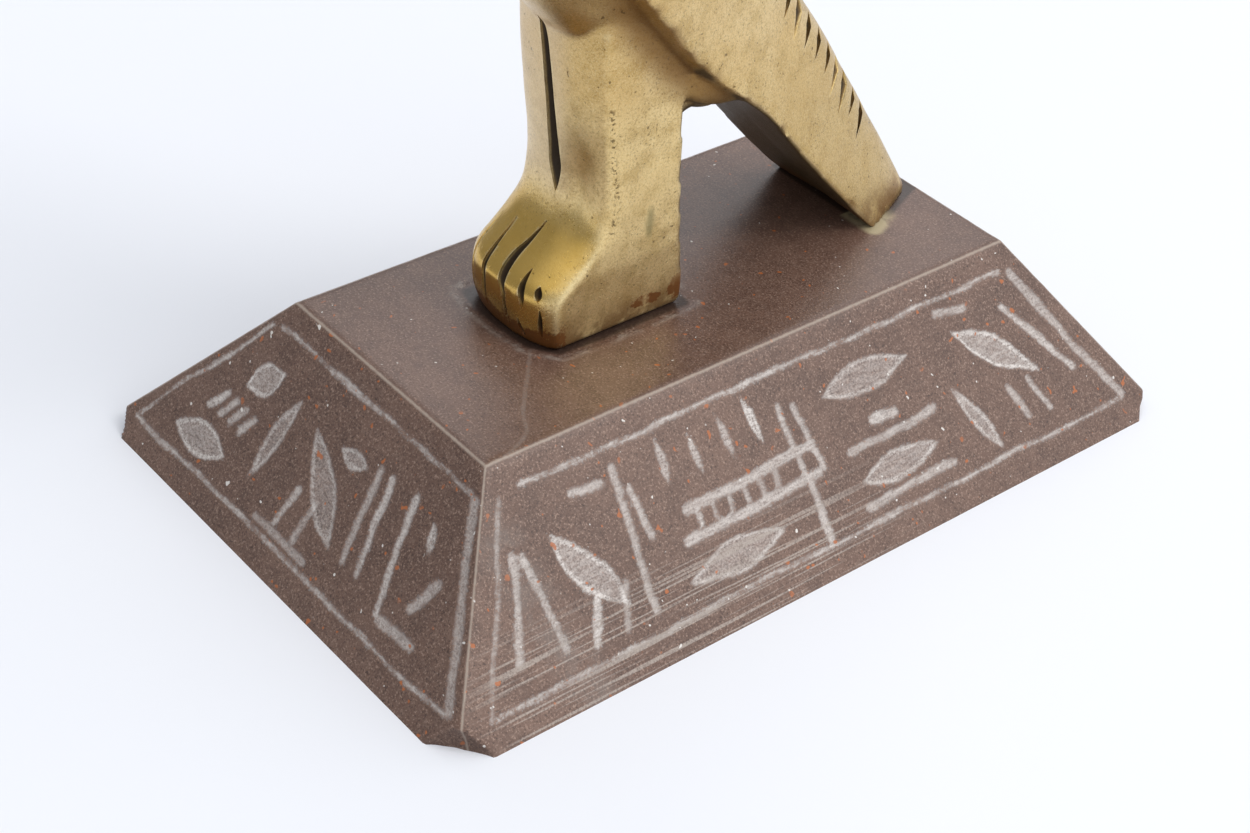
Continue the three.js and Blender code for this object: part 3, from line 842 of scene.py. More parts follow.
class Finish:
    """One material's node tree, with the few patterns that the finishes use."""

    def __init__(self, material):
        material.use_nodes = True
        self.tree = material.node_tree
        self.surface = self.tree.nodes["Principled BSDF"]
        self.node = Wire(self.tree, None).node
        self.coordinates = self.node("ShaderNodeTexCoord", {}, {}, "Object")

    def painted(self, name):
        """An attribute of the mesh."""
        return self.node("ShaderNodeAttribute", {"attribute_name": name}, {}, "Fac")

    def stretched(self, scale, turn=(0, 0, 0)):
        """Object coordinates in millimetres, scaled by axis and turned, for long marks."""
        return self.node("ShaderNodeMapping", {}, {
            "Vector": self.coordinates, "Rotation": turn, "Scale": [s / MM for s in scale],
        })

    def noise(self, size, detail=2.0, rough=0.5, seed=0.0, vector=None):
        """Noise from 0 to 1 with lumps of that many millimetres."""
        scale = 1 / size if vector else 1 / (size * MM)
        shift = (7.3 * seed, 3.1 * seed, 5.7 * seed)
        moved = self.node("ShaderNodeVectorMath", {"operation": "MULTIPLY_ADD"}, {
            0: vector or self.coordinates, 1: (scale, scale, scale), 2: shift,
        })
        return self.node("ShaderNodeTexNoise", {}, {
            "Vector": moved, "Scale": 1.0, "Detail": detail, "Roughness": rough,
        })

    def specks(self, size, seed, least):
        """Small spots: the peaks of noise above least."""
        return self.noise(size, 1.0, 0.4, seed).step(least, least + 0.03)

    def mix(self, share, under, over):
        """The colour over laid on the colour under, by a share from 0 to 1."""
        under, over = [colour(value) if isinstance(value, str) else value for value in (under, over)]
        return self.node("ShaderNodeMix", {"data_type": "RGBA"}, {0: share, 6: under, 7: over}, 2)

    def bump(self, height, distance, under=None):
        """Relief: height 0 to 1 stands for that many millimetres."""
        inputs = {"Height": height, "Distance": distance * MM, "Strength": 1.0}
        if under:
            inputs["Normal"] = under
        return self.node("ShaderNodeBump", {}, inputs)

    def close(self, **inputs):
        """Feeds the surface, with an underscore for a space in a socket's name."""
        for name, value in inputs.items():
            plug(self.tree, self.surface.inputs[name.replace("_", " ")], value)


print("brass yellow in linear light", [round(part, 3) for part in colour("d0b075")])

# %% [markdown]
# ## Brass
# The brass is filed and softly polished, golden where hands rub it, brown in hollows and cuts, and darker
# and spotted near the stone. One noise would make it look like painted plastic. Four sizes of noise, from
# broad tone to fine grain, give the cast skin, and the attributes say where patina and dirt lie over it, and
# where shade and highlights are painted into the colour.

# %% Grain, pores and grime
f = Finish(brass)
hollow, crease = f.painted("hollow"), f.painted("crease")
cut, foot, low = f.painted("cut").step(0.06, 0.5), f.painted("foot"), f.painted("low")
broad_noise = f.noise(9, 3, 0.55, 1)
patch_noise = f.noise(2.6, 4, 0.6, 2)
speckle = f.noise(0.27, 3, 0.7, 3)
grain = f.noise(0.12, 2, 0.6, 4)
pits = f.specks(0.5, 5, 0.72) * patch_noise.step(0.45, 0.6)
fine_pits = f.specks(0.24, 6, 0.66) * broad_noise.step(0.35, 0.6)
row_of_pits = f.painted("pit_line") * f.specks(0.4, 7, 0.56)
grime = (f.painted("grime") + (patch_noise - 0.5) * 1.6 + (speckle - 0.5) * 0.8).step(0.45, 0.85)
cast_skin = (1.0 - 0.75 * foot) * (grain * 0.45 + speckle * 0.55)
scar, under = f.painted("scar"), f.painted("under")
print("brass patterns", len(brass.node_tree.nodes), "nodes")

# %% Clean brass
base = f.mix(broad_noise.step(0.35, 0.7), "d0b075", "dcc08a")
base = f.mix(f.painted("leg") * 0.65, base, "ebd197")
base = f.mix(f.painted("tail") * 0.55, base, "b89a5e")
base = f.mix(patch_noise.step(0.42, 0.7) * 0.5, base, "b08f50")
base = f.mix(speckle.step(0.45, 0.7) * 0.45, base, "8c6b36")
base = f.mix(grain.step(0.5, 0.35) * 0.3, base, "f0e2b4")
# oxide haze and painted reflection: a pale pinkish sheen on faces that look forward
base = f.mix(f.painted("front") * 0.45, base, "dcc6a6")
# painted highlight: sharp ridges lighter, partly rubbed bright and partly the glint along each edge
base = f.mix(crease.step(-0.03, -0.12) * 0.35, base, "f0e0b2")
base = f.mix(foot * 0.8, base, "d0a850")
print("clean brass", len(brass.node_tree.nodes), "nodes")

# %% Patina, dirt and painted shade
# patina in the hollows, plus the painted shade band under the wing edge
patina_and_shade = (hollow.step(0.14, 0.65) * (patch_noise.step(0.2, 0.6) * 0.4 + 0.6) + f.painted("band")).clamp()
base = f.mix(patina_and_shade * 0.82, base, "75501f")
# painted shade: dark brown under the arch and the tail, where little light reaches
base = f.mix(under * 0.9, base, "35230f")
# painted shade: fine creases darker, partly patina and partly the shade in them
base = f.mix(crease.step(0.03, 0.12) * 0.7, base, "553a1f")
base = f.mix((low * patch_noise.step(0.3, 0.55) * 0.7 + grime * 0.7).clamp(), base, "704418")
base = f.mix((pits * 0.7 + fine_pits * 0.4 + row_of_pits).clamp() * 0.8, base, "38290f")
base = f.mix(scar * 0.6, base, "6f6a44")
# patina and painted shade: the graver cuts darker the deeper they go
base = f.mix(cut * 0.95, base, "3a2e21")
# this share also takes the painted shade under the arch and the wing edge, for roughness and metallic
dirt = (patina_and_shade * 0.2 + cut * 0.9 + low * 0.3 + grime * 0.5 + scar * 0.3 + under * 0.6).clamp()
print("dirty brass", len(brass.node_tree.nodes), "nodes")

# %% Brass surface
roughness = (speckle * 0.16 + 0.22 + dirt * 0.3 - foot * 0.06).clamp()
metallic = (1.0 - 0.85 * dirt).clamp()
relief = f.bump(cast_skin, 0.05)
relief = f.bump(-(pits + fine_pits * 0.5 + row_of_pits).clamp(), 0.1, relief)
f.close(Base_Color=base, Roughness=roughness, Metallic=metallic, Normal=relief)
print("brass", len(brass.node_tree.nodes), "nodes")

# %% [markdown]
# ## The plinth's form
# The plinth is a low stone pyramid cut off flat, with marks scratched into its slopes. A subdivided box
# would waste faces and skew them on the slopes. So each slope and the top is a grid of its own with quads
# of one size, their shared edges are merged, and wear, breaks and marks are pressed into the points.

# %% Grid of one side
def slope_grid(turn, base, top, depth_base, depth_top, columns, rows):
    """Points of one slope: (rows + 1, columns + 1, 3), across -1 to 1 and up 0 to 1."""
    across = np.linspace(-1, 1, columns + 1)
    up = np.linspace(0, 1, rows + 1)[:, None]
    along = across * (base + (top - base) * up) / 2
    out = -(depth_base + (depth_top - depth_base) * up) / 2 + 0 * along
    z = PLINTH_HEIGHT * up + 0 * along
    cos, sin = round(math.cos(turn)), round(math.sin(turn))
    return np.stack([along * cos - out * sin, along * sin + out * cos, z], -1)


def grid_faces(start, rows, columns):
    index = start + np.arange((rows + 1) * (columns + 1)).reshape(rows + 1, columns + 1)
    return np.stack([index[:-1, :-1], index[:-1, 1:], index[1:, 1:], index[1:, :-1]], -1).reshape(-1, 4)


LONG_COLUMNS, SHORT_COLUMNS, SLOPE_ROWS = 240, 132, 70
print("one long slope", LONG_COLUMNS * SLOPE_ROWS, "quads")

# %% Four slopes and the top
SIDES = {
    "long front": (math.pi / 2, BASE_LENGTH, TOP_LENGTH, BASE_WIDTH, TOP_WIDTH, LONG_COLUMNS),
    "short front": (0, BASE_WIDTH, TOP_WIDTH, BASE_LENGTH, TOP_LENGTH, SHORT_COLUMNS),
    "long back": (-math.pi / 2, BASE_LENGTH, TOP_LENGTH, BASE_WIDTH, TOP_WIDTH, LONG_COLUMNS),
    "short back": (math.pi, BASE_WIDTH, TOP_WIDTH, BASE_LENGTH, TOP_LENGTH, SHORT_COLUMNS),
}
grids, faces, start = [], [], 0
for name, (turn, *sizes, columns) in SIDES.items():
    grids.append(slope_grid(turn, *sizes, columns, SLOPE_ROWS).reshape(-1, 3))
    faces.append(grid_faces(start, SLOPE_ROWS, columns))
    start += len(grids[-1])
top_y, top_x = np.meshgrid(
    np.linspace(-1, 1, LONG_COLUMNS + 1), np.linspace(-1, 1, SHORT_COLUMNS + 1), indexing="ij",
)
top_points = np.stack([top_x * TOP_WIDTH / 2, top_y * TOP_LENGTH / 2, 0 * top_x + PLINTH_HEIGHT], -1)
grids.append(top_points.reshape(-1, 3))
faces.append(grid_faces(start, LONG_COLUMNS, SHORT_COLUMNS))
print("sides", len(grids), "points", sum(map(len, grids)))

# %% Merged grid
loose = np.vstack(grids)
in_microns = (loose * 1000).round().astype(np.int64)
_, first, merged = np.unique(in_microns, axis=0, return_index=True, return_inverse=True)
merged = merged.ravel()
stone_points = loose[first]
stone_faces = merged[np.vstack(faces)]
print("plinth grid", len(stone_points), "points", len(stone_faces) * 2, "triangles")

# %% [markdown]
# ## Scratched marks
# The marks on the slopes are shallow strokes with a rough, chalky bed. They could be painted, but a raking
# light shows that they are cut. So each slope keeps the distance from every grid point to its nearest
# stroke, and that one number serves both the shape and the colour. Noise moves the strokes a little, and
# each has its own force, because they were drawn by hand.

# %% One stroke
def stroke_distance(u, v, start, end, width, swell):
    """Distance in mm outside a stroke from start to end, negative inside it. Swell 1 makes a leaf."""
    away, share = segment_distance(u, v, start, end)
    full = 0.12 + 0.88 * np.sin(math.pi * share) if swell else 1
    return away - full * width / 2


print("outside a leaf", stroke_distance(1, 2, (0, 0), (2, 0), 1, 1).round(2), "mm")

# %% One slope
UNMARKED = 9.0


class Slope:
    """One slope in its own plane, with the distance to its nearest mark at every grid point."""

    def __init__(self, turn, base, top, depth_base, depth_top, columns):
        self.base, self.top = base, top
        self.rise = math.hypot(PLINTH_HEIGHT, (depth_base - depth_top) / 2)
        across = np.linspace(-1, 1, columns + 1)[None, :]
        up = np.linspace(0, 1, SLOPE_ROWS + 1)[:, None]
        self.u = across * (base + (top - base) * up) / 2
        self.v = up * self.rise + 0 * self.u
        plane = np.stack([self.u.ravel(), self.v.ravel(), np.full(self.u.size, turn)], -1)
        self.u = self.u + (0.45 * cloud(plane, 9, 11) + 0.2 * cloud(plane, 2.6, 12)).reshape(self.u.shape)
        self.v = self.v + (0.35 * cloud(plane, 8, 13) + 0.2 * cloud(plane, 2.4, 14)).reshape(self.u.shape)
        self.press = (0.32 * cloud(plane, 4, 15)).reshape(self.u.shape)
        self.lines = np.full(self.u.shape, UNMARKED)
        self.leaves = np.full(self.u.shape, UNMARKED)
        self.force = np.ones(self.u.shape)
        self.hand = np.random.default_rng(int(10 * turn) + 40)

    def at(self, across, up):
        """Millimetres on the slope of a place given from -1 to 1 across and 0 to 1 up."""
        return across * (self.base + (self.top - self.base) * up) / 2, up * self.rise

    def mark(self, ends, width, swell=0):
        """One stroke. Ends: across and up of its start, then of its end."""
        distance = stroke_distance(self.u, self.v, self.at(*ends[:2]), self.at(*ends[2:]), width, swell)
        distance = distance + (0.5 + 0.5 * swell) * self.press
        target = self.leaves if swell else self.lines
        self.force[distance < np.minimum(target, 1)] = self.hand.uniform(0.6, 1.1)
        np.minimum(target, distance, out=target)


slopes = {name: Slope(*sizes) for name, sizes in SIDES.items()}
print("slopes", list(slopes), "rise", round(slopes["long front"].rise, 2), "mm")

# %% Widths and the frame round each slope
MARK, BAND, LINE, BROAD, SLIM = 0.95, 1.2, 0.55, 3.7, 2.2


def spread(count, low, high):
    return np.linspace(low, high, count)


def border(s):
    s.mark([-0.93, 0.13, 0.92, 0.13], LINE)
    s.mark([-0.88, 0.88, 0.9, 0.88], LINE)
    s.mark([-0.93, 0.13, -0.94, 0.86], LINE)
    s.mark([0.93, 0.15, 0.93, 0.86], BAND)


print("widths of the strokes", MARK, BAND, LINE, BROAD, SLIM)

# %% Strokes of the long slope in front
def long_front(s):
    border(s)
    s.mark([-0.86, 0.26, -0.89, 0.64], MARK)
    s.mark([-0.74, 0.24, -0.86, 0.62], MARK)
    s.mark([-0.79, 0.66, -0.56, 0.27], BROAD, 1)
    for a in spread(2, -0.66, -0.58):
        s.mark([a, 0.2, a + 0.01, 0.36], MARK)
    s.mark([-0.72, 0.77, -0.63, 0.76], MARK)
    s.mark([-0.5, 0.22, -0.59, 0.8], MARK)
    s.mark([-0.49, 0.48, -0.54, 0.7], MARK)
    for a in spread(4, -0.44, -0.14):
        s.mark([a + 0.03, 0.64, a, 0.84], BAND, 1)
    for b in spread(2, 0.4, 0.52):
        s.mark([-0.44 + b / 8, b, -0.03 + b / 8, b + 0.03], BAND)
    for a in spread(6, -0.34, -0.1):
        s.mark([a, 0.44, a - 0.005, 0.52], MARK * 0.8)
    s.mark([-0.4, 0.25, -0.12, 0.28], BROAD, 1)
    s.mark([-0.01, 0.15, -0.03, 0.74], MARK)
    s.mark([0.04, 0.44, 0.02, 0.72], MARK)
    s.mark([0.11, 0.7, 0.43, 0.72], BROAD, 1)
    s.mark([0.13, 0.44, 0.42, 0.46], MARK)
    s.mark([0.24, 0.53, 0.31, 0.53], BAND)
    s.mark([0.12, 0.3, 0.38, 0.32], BROAD, 1)
    s.mark([0.11, 0.2, 0.39, 0.22], MARK)
    s.mark([0.54, 0.18, 0.5, 0.5], SLIM, 1)
    s.mark([0.61, 0.72, 0.78, 0.42], BROAD, 1)
    for a in spread(2, 0.66, 0.73):
        s.mark([a, 0.25, a, 0.4], MARK)
    s.mark([0.6, 0.82, 0.7, 0.8], MARK)
    s.mark([0.88, 0.36, 0.82, 0.74], MARK)


long_front(slopes["long front"])
print("long front, share in a stroke", (slopes["long front"].lines < 0).mean().round(3))

# %% Strokes of the short slope in front
def short_front(s):
    border(s)
    s.mark([-0.78, 0.24, -0.5, 0.27], BROAD, 1)
    for a in spread(4, -0.75, -0.53):
        s.mark([a, 0.4, a + 0.01, 0.49], MARK)
    s.mark([-0.7, 0.58, -0.6, 0.73], BROAD, 1)
    s.mark([-0.34, 0.28, -0.4, 0.7], SLIM, 1)
    s.mark([-0.2, 0.64, 0.17, 0.3], BROAD, 1)
    for a in spread(2, -0.11, 0):
        s.mark([a, 0.22, a + 0.01, 0.4], MARK)
    s.mark([-0.2, 0.18, 0.09, 0.18], MARK)
    s.mark([-0.02, 0.66, 0.2, 0.67], SLIM, 1)
    for a in spread(2, 0.26, 0.35):
        s.mark([a, 0.3, a + 0.01, 0.7], MARK)
    s.mark([0.5, 0.24, 0.54, 0.72], MARK)
    s.mark([0.52, 0.23, 0.7, 0.25], BAND)
    s.mark([0.67, 0.36, 0.78, 0.5], BAND)
    s.mark([0.7, 0.58, 0.68, 0.68], MARK, 1)


short_front(slopes["short front"])
print("short front, share in a stroke", (slopes["short front"].lines < 0).mean().round(3))

# %% Plain rows on the far slopes
def plain_rows(s, count):
    """Leaves and short lines by turns, for the sides that the photo doesn't show."""
    border(s)
    for a in spread(count, -0.78, 0.74):
        s.mark([a, 0.3, a - 0.03, 0.7], SLIM, 1)
    for a in spread(count - 1, -0.66, 0.62):
        s.mark([a, 0.26, a, 0.5], MARK)


plain_rows(slopes["long back"], 9)
plain_rows(slopes["short back"], 5)
print("far slopes marked")

# %% Strokes on the merged grid
def on_grid(loose_values):
    """The least value of the loose points that became one."""
    least = np.full(len(stone_points), UNMARKED)
    np.minimum.at(least, merged, loose_values)
    return least


top_count = top_x.size
unmarked_top = np.full(top_count, UNMARKED)
lines = on_grid(np.concatenate([*[s.lines.ravel() for s in slopes.values()], unmarked_top]))
leaves = on_grid(np.concatenate([*[s.leaves.ravel() for s in slopes.values()], unmarked_top]))
force = np.concatenate([*[s.force.ravel() for s in slopes.values()], np.ones(top_count)])[first]
print("share of the grid in a stroke", (np.minimum(lines, leaves) < 0).mean().round(3))

# %% [markdown]
# ## Wear and breaks
# The edges of the stone are rubbed round, and its corners are broken off. A bevel would be the same all
# the way along. So the distance from each point to the nearest edge gives a wear that noise makes uneven,
# and the corners are pushed in to the wall of a rough bowl, which is how stone breaks.

# %% Distance to the edges
x, y, z = stone_points.T
lean_x = math.atan2(PLINTH_HEIGHT, (BASE_WIDTH - TOP_WIDTH) / 2)
lean_y = math.atan2(PLINTH_HEIGHT, (BASE_LENGTH - TOP_LENGTH) / 2)
half_x = BASE_WIDTH / 2 + (TOP_WIDTH - BASE_WIDTH) / 2 * z / PLINTH_HEIGHT
half_y = BASE_LENGTH / 2 + (TOP_LENGTH - BASE_LENGTH) / 2 * z / PLINTH_HEIGHT
in_x = (half_x - np.abs(x)) * math.sin(lean_x)
in_y = (half_y - np.abs(y)) * math.sin(lean_y)
in_z = PLINTH_HEIGHT - z
arris = np.sort(np.stack([in_x, in_y, in_z], -1), axis=1)[:, 1]
print("slopes lean", round(math.degrees(lean_x)), round(math.degrees(lean_y)), "degrees")

# %% Worn edges and pressed strokes
WEAR, WEAR_WIDTH, STROKE_DEPTH, SKIN = 0.16, 0.7, 0.13, 0.012
rough = cloud(stone_points, 2.2, 3) + 0.5 * cloud(stone_points, 0.8, 4)
block = make_object("block", stone_points, stone_faces.tolist())
out = normals_of(block.data)
remove(block)
worn = (WEAR + 0.07 * rough) * np.clip(1 - arris / WEAR_WIDTH, 0, 1) ** 2
pressed = STROKE_DEPTH * smooth(np.minimum(lines, leaves + 0.1), 0.1, -0.35) * (0.75 + 0.4 * rough)
moved = stone_points - out * (worn + pressed - SKIN * rough)[:, None]
print("worn at most", round(float(worn.max()), 2), "pressed at most", round(float(pressed.max()), 2))

# %% Broken corners
# Side in x, side in y, reach along x, reach along y, rise.
BREAKS = [
    (1, -1, 6.2, 4.6, 5.2), (1, 1, 4.4, 4.4, 4.2), (-1, -1, 4.4, 4.4, 4.2), (-1, 1, 2.4, 2.4, 2.6),
]
BOWL_INWARDS, BOWL_ASIDE, BOWL_UP = 1.7, 2.7, 1.45
broken = np.zeros(len(moved))
for side_x, side_y, reach_x, reach_y, rise in BREAKS:
    depth = 1 / math.hypot(1 / reach_x, 1 / reach_y)
    inwards, aside, up = BOWL_INWARDS * depth, BOWL_ASIDE * depth, BOWL_UP * rise
    diagonal = np.array([side_x / reach_x, side_y / reach_y, 0]) * depth
    crossing = np.array([-diagonal[1], diagonal[0], 0])
    corner = np.array([side_x * BASE_WIDTH / 2, side_y * BASE_LENGTH / 2, 0])
    away = moved - corner - diagonal * (inwards - depth)
    inner, beside = away @ diagonal, away @ crossing
    rugged = 1 + 0.035 * cloud(moved, 2.6, 7) + 0.012 * cloud(moved, 0.9, 8)
    rest = rugged**2 - (beside / aside) ** 2 - (away[:, 2] / up) ** 2
    wall = -inwards * np.sqrt(np.maximum(rest, 0))
    inside = (rest > 0) & (inner > wall)
    shift = np.where(inside, wall - inner, 0)
    moved = moved + shift[:, None] * diagonal
    broken = np.maximum(broken, smooth(-shift, 0.02, 0.25))
moved[:, 2] = np.clip(moved[:, 2], 0, PLINTH_HEIGHT)
moved[z < 0.01, 2] = 0
print("broken points", int((broken > 0.5).sum()))

# %% [markdown]
# The falcon's foot sits in a shallow bed, with dark gunk and painted contact shade in the gap. Both follow
# the outline of the foot, so the distance to that outline is worked out for every point on top. The tail has
# its own.

# %% Bed of the foot and the tail
FOOT = [
    (-6.9, -19.6), (-4.1, -20.2), (0, -20.3), (4.1, -19.9), (6.6, -18.2), (6.9, -13), (6.9, -7.7), (6.9, -2),
    (-6.9, -2),
]
TAIL_END = [(-8, 24.9), (8, 24.9), (4, 34.8), (-4, 34.8)]
BED_DEPTH = 0.16


def outline_distance(px, py, corners):
    """Distance to a closed outline, negative inside it."""
    nearest, inside = np.full(len(px), FAR), np.zeros(len(px), bool)
    for (ax, ay), (bx, by) in zip(corners, corners[1:] + corners[:1]):
        nearest = np.minimum(nearest, segment_distance(px, py, (ax, ay), (bx, by))[0])
        inside ^= ((ay > py) != (by > py)) & (px < ax + (bx - ax) * (py - ay) / (by - ay + 1e-9))
    return np.where(inside, -nearest, nearest)


def around_outline(outline):
    """The distance on the plinth's top to an outline under the falcon."""
    corners = [(px + FALCON_PLACE[0], py) for px, py in outline]
    return np.where(on_top, outline_distance(x, y, corners), UNMARKED)


on_top = in_z < 0.01
around_foot, around_tail = around_outline(FOOT), around_outline(TAIL_END)
bed = smooth(around_foot, 1.7, 0.9) * on_top
moved[:, 2] -= BED_DEPTH * bed
print("points in the bed", int((bed > 0.5).sum()))

# %% Closed plinth
base_loop = np.where(z < 0.01)[0]
turn = np.arctan2(y[base_loop] / BASE_LENGTH, x[base_loop] / BASE_WIDTH)
base_loop = base_loop[np.argsort(turn)]
plinth = make_object("plinth_stone_closed", moved, stone_faces.tolist() + [base_loop[::-1].tolist()])
mesh = plinth.data
mesh.polygons.foreach_set("use_smooth", np.ones(len(mesh.polygons), bool))
mesh.set_sharp_from_angle(angle=math.radians(40))
stone = bpy.data.materials.new("stone")
mesh.materials.append(stone)
print("plinth", sum(len(face.vertices) - 2 for face in mesh.polygons), "triangles")

# %% Zones of the stone
VEIN = [(16.7, -34.5), (14.7, -29.5), (11.7, -27.5), (7.7, -24), (3.7, -20.5)]
near_slope = (in_x < 0.01) * (x > 0)
zones = {
    "force": force,
    "lines": lines,
    "leaves": leaves,
    "arris": arris,
    "broken": broken,
    "around_foot": around_foot,
    "around_tail": around_tail,
    "vein": np.where(on_top, line_distance(x, y, VEIN), UNMARKED),
    "glue": smooth(around_tail, 1.5, 0.7) * (x > 2.5) * smooth(y, 30, 27),
    "top": on_top,
    "stain": smooth(np.abs(y + 36 + 0.28 * (z - 10)), 3.6, 1.2) * near_slope * smooth(z, 18, 15),
    "scratched": near_slope * smooth(y, -48, -40) * smooth(y, 14, -4) * smooth(z, 8.5, 5),
}
for name, values in zones.items():
    paint(mesh, name, values)
print("zones", list(zones))

# %% [markdown]
# ## Stone
# The stone is honed and brown, with rust-red and white specks, a thin vein, and pale dust in its scratched
# marks. A flat brown would look like wood, so four sizes of noise mix five browns. The chalk in the strokes
# is broken up by the same grain as the stone, because the tool skipped over the hard grains.

# %% Grain of the stone
f = Finish(stone)
lines, leaves = f.painted("lines"), f.painted("leaves")
arris, broken, top = f.painted("arris"), f.painted("broken"), f.painted("top")
large = f.noise(16, 3, 0.55, 1)
middle = f.noise(3, 4, 0.6, 2)
small = f.noise(0.6, 3, 0.65, 3)
dust = f.noise(0.23, 2, 0.7, 4)
base = f.mix(large.step(0.3, 0.7), "62493d", "6f5548")
base = f.mix(middle.step(0.4, 0.7) * 0.6, base, "523c32")
base = f.mix(small.step(0.48, 0.75) * 0.6, base, "80685b")
base = f.mix(dust.step(0.54, 0.68) * 0.7, base, "a08676")
base = f.mix(dust.step(0.44, 0.32) * 0.75, base, "33241d")
base = f.mix(top * 0.2, base, "5e473e")
print("bare stone", len(stone.node_tree.nodes), "nodes")

# %% Chalk in the strokes and fine scratches
ragged = (small - 0.5) * 0.7 + (dust - 0.5) * 0.9
streaks = f.noise(1, 3, 0.7, 8, f.stretched((1.5, 0.5, 3.5), (0.5, 0, 0)))
grainy = dust.step(0.36, 0.6) * 0.5 + streaks.step(0.38, 0.6) * 0.5
line_share = (lines + ragged).step(0.15, -0.3) * (grainy * 0.65 + 0.35)
leaf_share = (leaves + ragged).step(0.1, -0.25) * (grainy * 0.55 + 0.2)
leaf_rim = abs(leaves + 0.35 + ragged * 0.5).step(0.4, 0.05) * 0.75
chalk = ((line_share * 0.9 + leaf_share * 0.75 + leaf_share * leaf_rim) * f.painted("force")).clamp()
base = f.mix(chalk, base, "d2cac4")
fan = f.noise(1, 2, 0.6, 6, f.stretched((1, 0.035, 3.2), (0.12, 0, 0)))
scratch = fan.step(0.54, 0.62) * f.painted("scratched") * (dust.step(0.3, 0.6) * 0.6 + 0.35)
base = f.mix(scratch * 0.8, base, "a89c92")
print("marked stone", len(stone.node_tree.nodes), "nodes")

# %% Specks, residue, vein and stains
rust = f.specks(1.0, 21, 0.73) * middle.step(0.35, 0.5)
base = f.mix(rust * 0.8, base, "b0622f")
white = f.specks(0.75, 33, 0.762)
base = f.mix(white, base, "d3cdc6")
off_foot = f.painted("around_foot")
residue = abs(off_foot + ragged * 0.9 + (middle - 0.5) * 2.4 - 1.7).step(0.7, 0.1)
base = f.mix(residue * middle.step(0.4, 0.62) * (grainy * 0.5 + 0.1), base, "a89d93")
# dark gunk and painted contact shade round the foot and the tail tip
gap = (off_foot - 0.35).step(0.7, 0.0) + (f.painted("around_tail") - 0.2).step(0.6, 0.0)
base = f.mix(gap.clamp() * 0.75, base, "1f1713")
base = f.mix(f.painted("glue") * middle.step(0.3, 0.5) * 0.8, base, "b3a684")
base = f.mix((f.painted("vein") + ragged * 0.7).step(0.3, 0.05) * 0.3, base, "9c9087")
base = f.mix(f.painted("stain") * middle.step(0.35, 0.65) * 0.3, base, "8d827a")
base = f.mix((arris + ragged * 0.35).step(0.26, 0.0) * 0.7, base, "b0a193")
base = f.mix(broken * 0.35, base, "3c2e28")
print("specked stone", len(stone.node_tree.nodes), "nodes")

# %% Stone surface
roughness = (small * 0.16 + 0.36 + chalk * 0.4 + broken * 0.3 - top * 0.1).clamp()
relief = f.bump(small * 0.5 + dust * 0.5, 0.05)
relief = f.bump(-chalk, 0.08, relief)
f.close(Base_Color=base, Roughness=roughness, Normal=relief)
print("stone", len(stone.node_tree.nodes), "nodes")

# %% [markdown]
# ## Floor, light and camera
# The photo was taken on white paper in a bright room, with soft shadows. One strong lamp would leave black
# shadows and a hard glint on the brass. So a sky that is brighter on one side does most of the work, and
# two large soft boxes give the brass its slow gradients.

# %% Paper floor
FLOOR_HALF = 1500
floor_corners = [(FLOOR_HALF * a, FLOOR_HALF * b, 0) for a, b in ((-1, -1), (1, -1), (1, 1), (-1, 1))]
floor = make_object("floor", floor_corners, [(0, 1, 2, 3)])
paper = bpy.data.materials.new("white paper")
Finish(paper).close(Base_Color=(0.8, 0.81, 0.85, 1), Roughness=0.9)
floor.data.materials.append(paper)
print("floor", 2 * FLOOR_HALF, "mm wide")

# %% Sky
BRIGHT_SIDE = (0.5, 0.3, 0.8)
SKY_LEAST, SKY_MOST = 0.42, 1.2
world = bpy.data.worlds.new("studio")
bpy.context.scene.world = world
world.use_nodes = True
sky = Wire(world.node_tree, None)
way = sky.node("ShaderNodeTexCoord", {}, {}, "Generated")
towards_bright = sky.node("ShaderNodeVectorMath", {"operation": "DOT_PRODUCT"}, {
    0: way, 1: Vector(BRIGHT_SIDE).normalized(),
}, "Value")
glow = sky.node("ShaderNodeMapRange", {"interpolation_type": "SMOOTHSTEP"}, {
    "Value": towards_bright, "From Min": 0.0, "From Max": 0.8, "To Min": SKY_LEAST, "To Max": SKY_MOST,
})
background = world.node_tree.nodes["Background"]
plug(world.node_tree, background.inputs["Strength"], glow)
background.inputs["Color"].default_value = (0.93, 0.96, 1.0, 1)
print("sky strength from", SKY_LEAST, "to", SKY_MOST)

# %% Soft boxes
AIM = Vector((0, 0, 20))


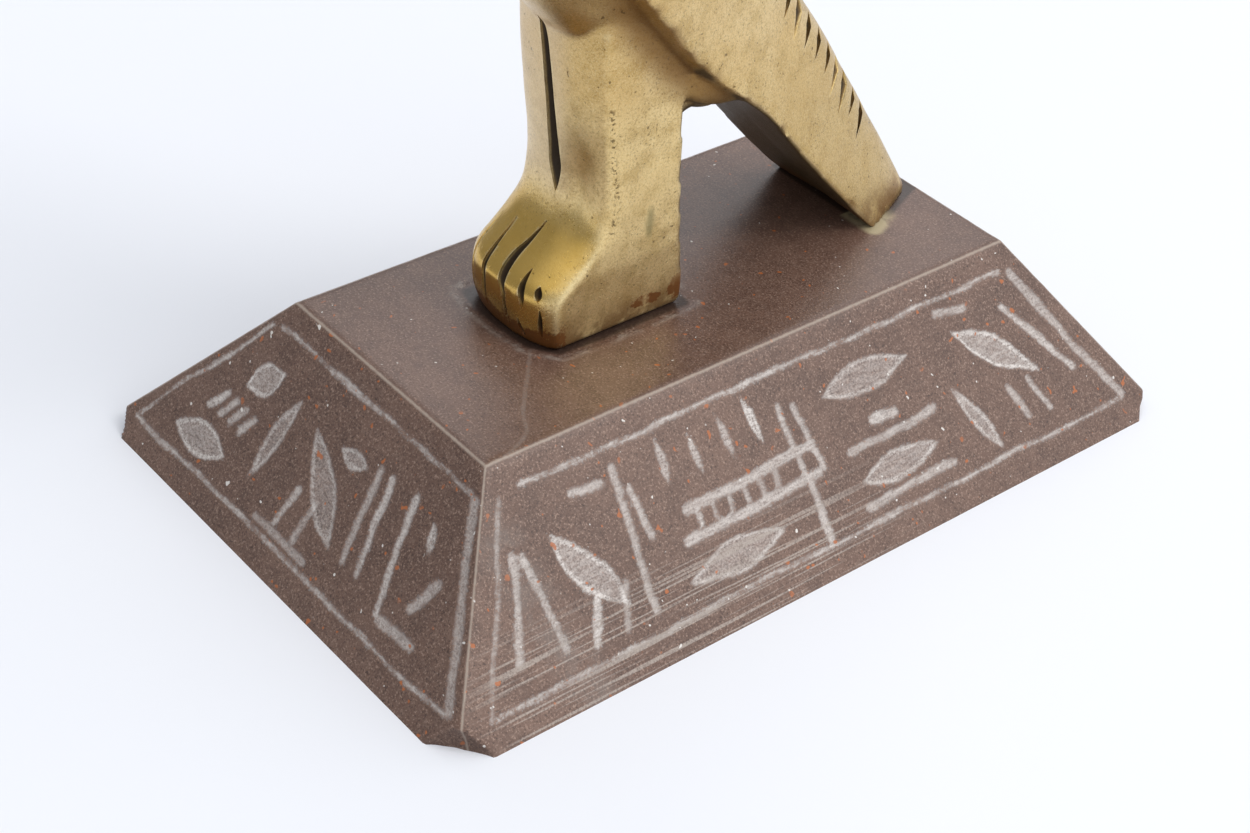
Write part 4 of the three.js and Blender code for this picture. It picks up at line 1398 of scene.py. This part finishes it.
def soft_box(name, place, size, power, tint):
    """A square lamp, with its place and size in millimetres, turned to the falcon's legs."""
    lamp = bpy.data.lights.new(name, "AREA")
    lamp.shape = "SQUARE"
    lamp.size = size * MM
    lamp.energy = power
    lamp.color = tint
    obj = bpy.data.objects.new(name, lamp)
    bpy.context.scene.collection.objects.link(obj)
    obj.location = Vector(place) * MM
    obj.rotation_mode = "QUATERNION"
    obj.rotation_quaternion = (AIM - Vector(place)).to_track_quat("-Z", "Y")
    return lamp


key = soft_box("key", (640, 380, 940), 560, 5.2, (1, 0.98, 0.95))
rim = soft_box("back", (-700, 640, 760), 640, 1.6, (0.97, 0.98, 1))
bpy.context.scene.view_settings.view_transform = "Standard"
print("soft boxes", key.name, rim.name)

# %% [markdown]
# The photo was taken close by, and its perspective is strong. The camera was fitted to the visible corners
# of the plinth: where it stands round the falcon, how far away, how it is turned, and its focal length.

# %% Camera
AZIMUTH, ELEVATION, ROLL = (math.radians(angle) for angle in (47.7257, 37.1799, 4.9956))
TARGET = Vector((-1.105, -2.473, 0))
DISTANCE, FOCAL_PX, PHOTO_WIDTH, SENSOR = 258.778, 2323.756, 1250, 36
level = Vector((math.sin(AZIMUTH), -math.cos(AZIMUTH), 0))
away = level * math.cos(ELEVATION) + Vector((0, 0, math.sin(ELEVATION)))
right = Vector((0, 0, 1)).cross(away).normalized()
rolled = Matrix.Rotation(ROLL, 3, away)
right, upward = rolled @ right, rolled @ away.cross(right)
lens = bpy.data.cameras.new("photo")
lens.sensor_width = SENSOR
lens.lens = FOCAL_PX / PHOTO_WIDTH * SENSOR
lens.clip_start, lens.clip_end = 0.005, 20
camera = bpy.data.objects.new("photo", lens)
bpy.context.scene.collection.objects.link(camera)
turned = Matrix((right, upward, away)).transposed().to_4x4()
camera.matrix_world = Matrix.Translation((TARGET + away * DISTANCE) * MM) @ turned
bpy.context.scene.camera = camera
print("camera at", [round(c, 4) for c in camera.matrix_world.translation])

# %% [markdown]
# ## Hand over
# The falcon stands fixed on its plinth, so both meshes ride on the one body. Each is shown in place of its
# CAD node.

# %% Pieces on the one body
for obj, node, slot in ((falcon, "falcon", "brass"), (plinth, "plinth", "stone")):
    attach(obj, "root")
    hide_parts(node)
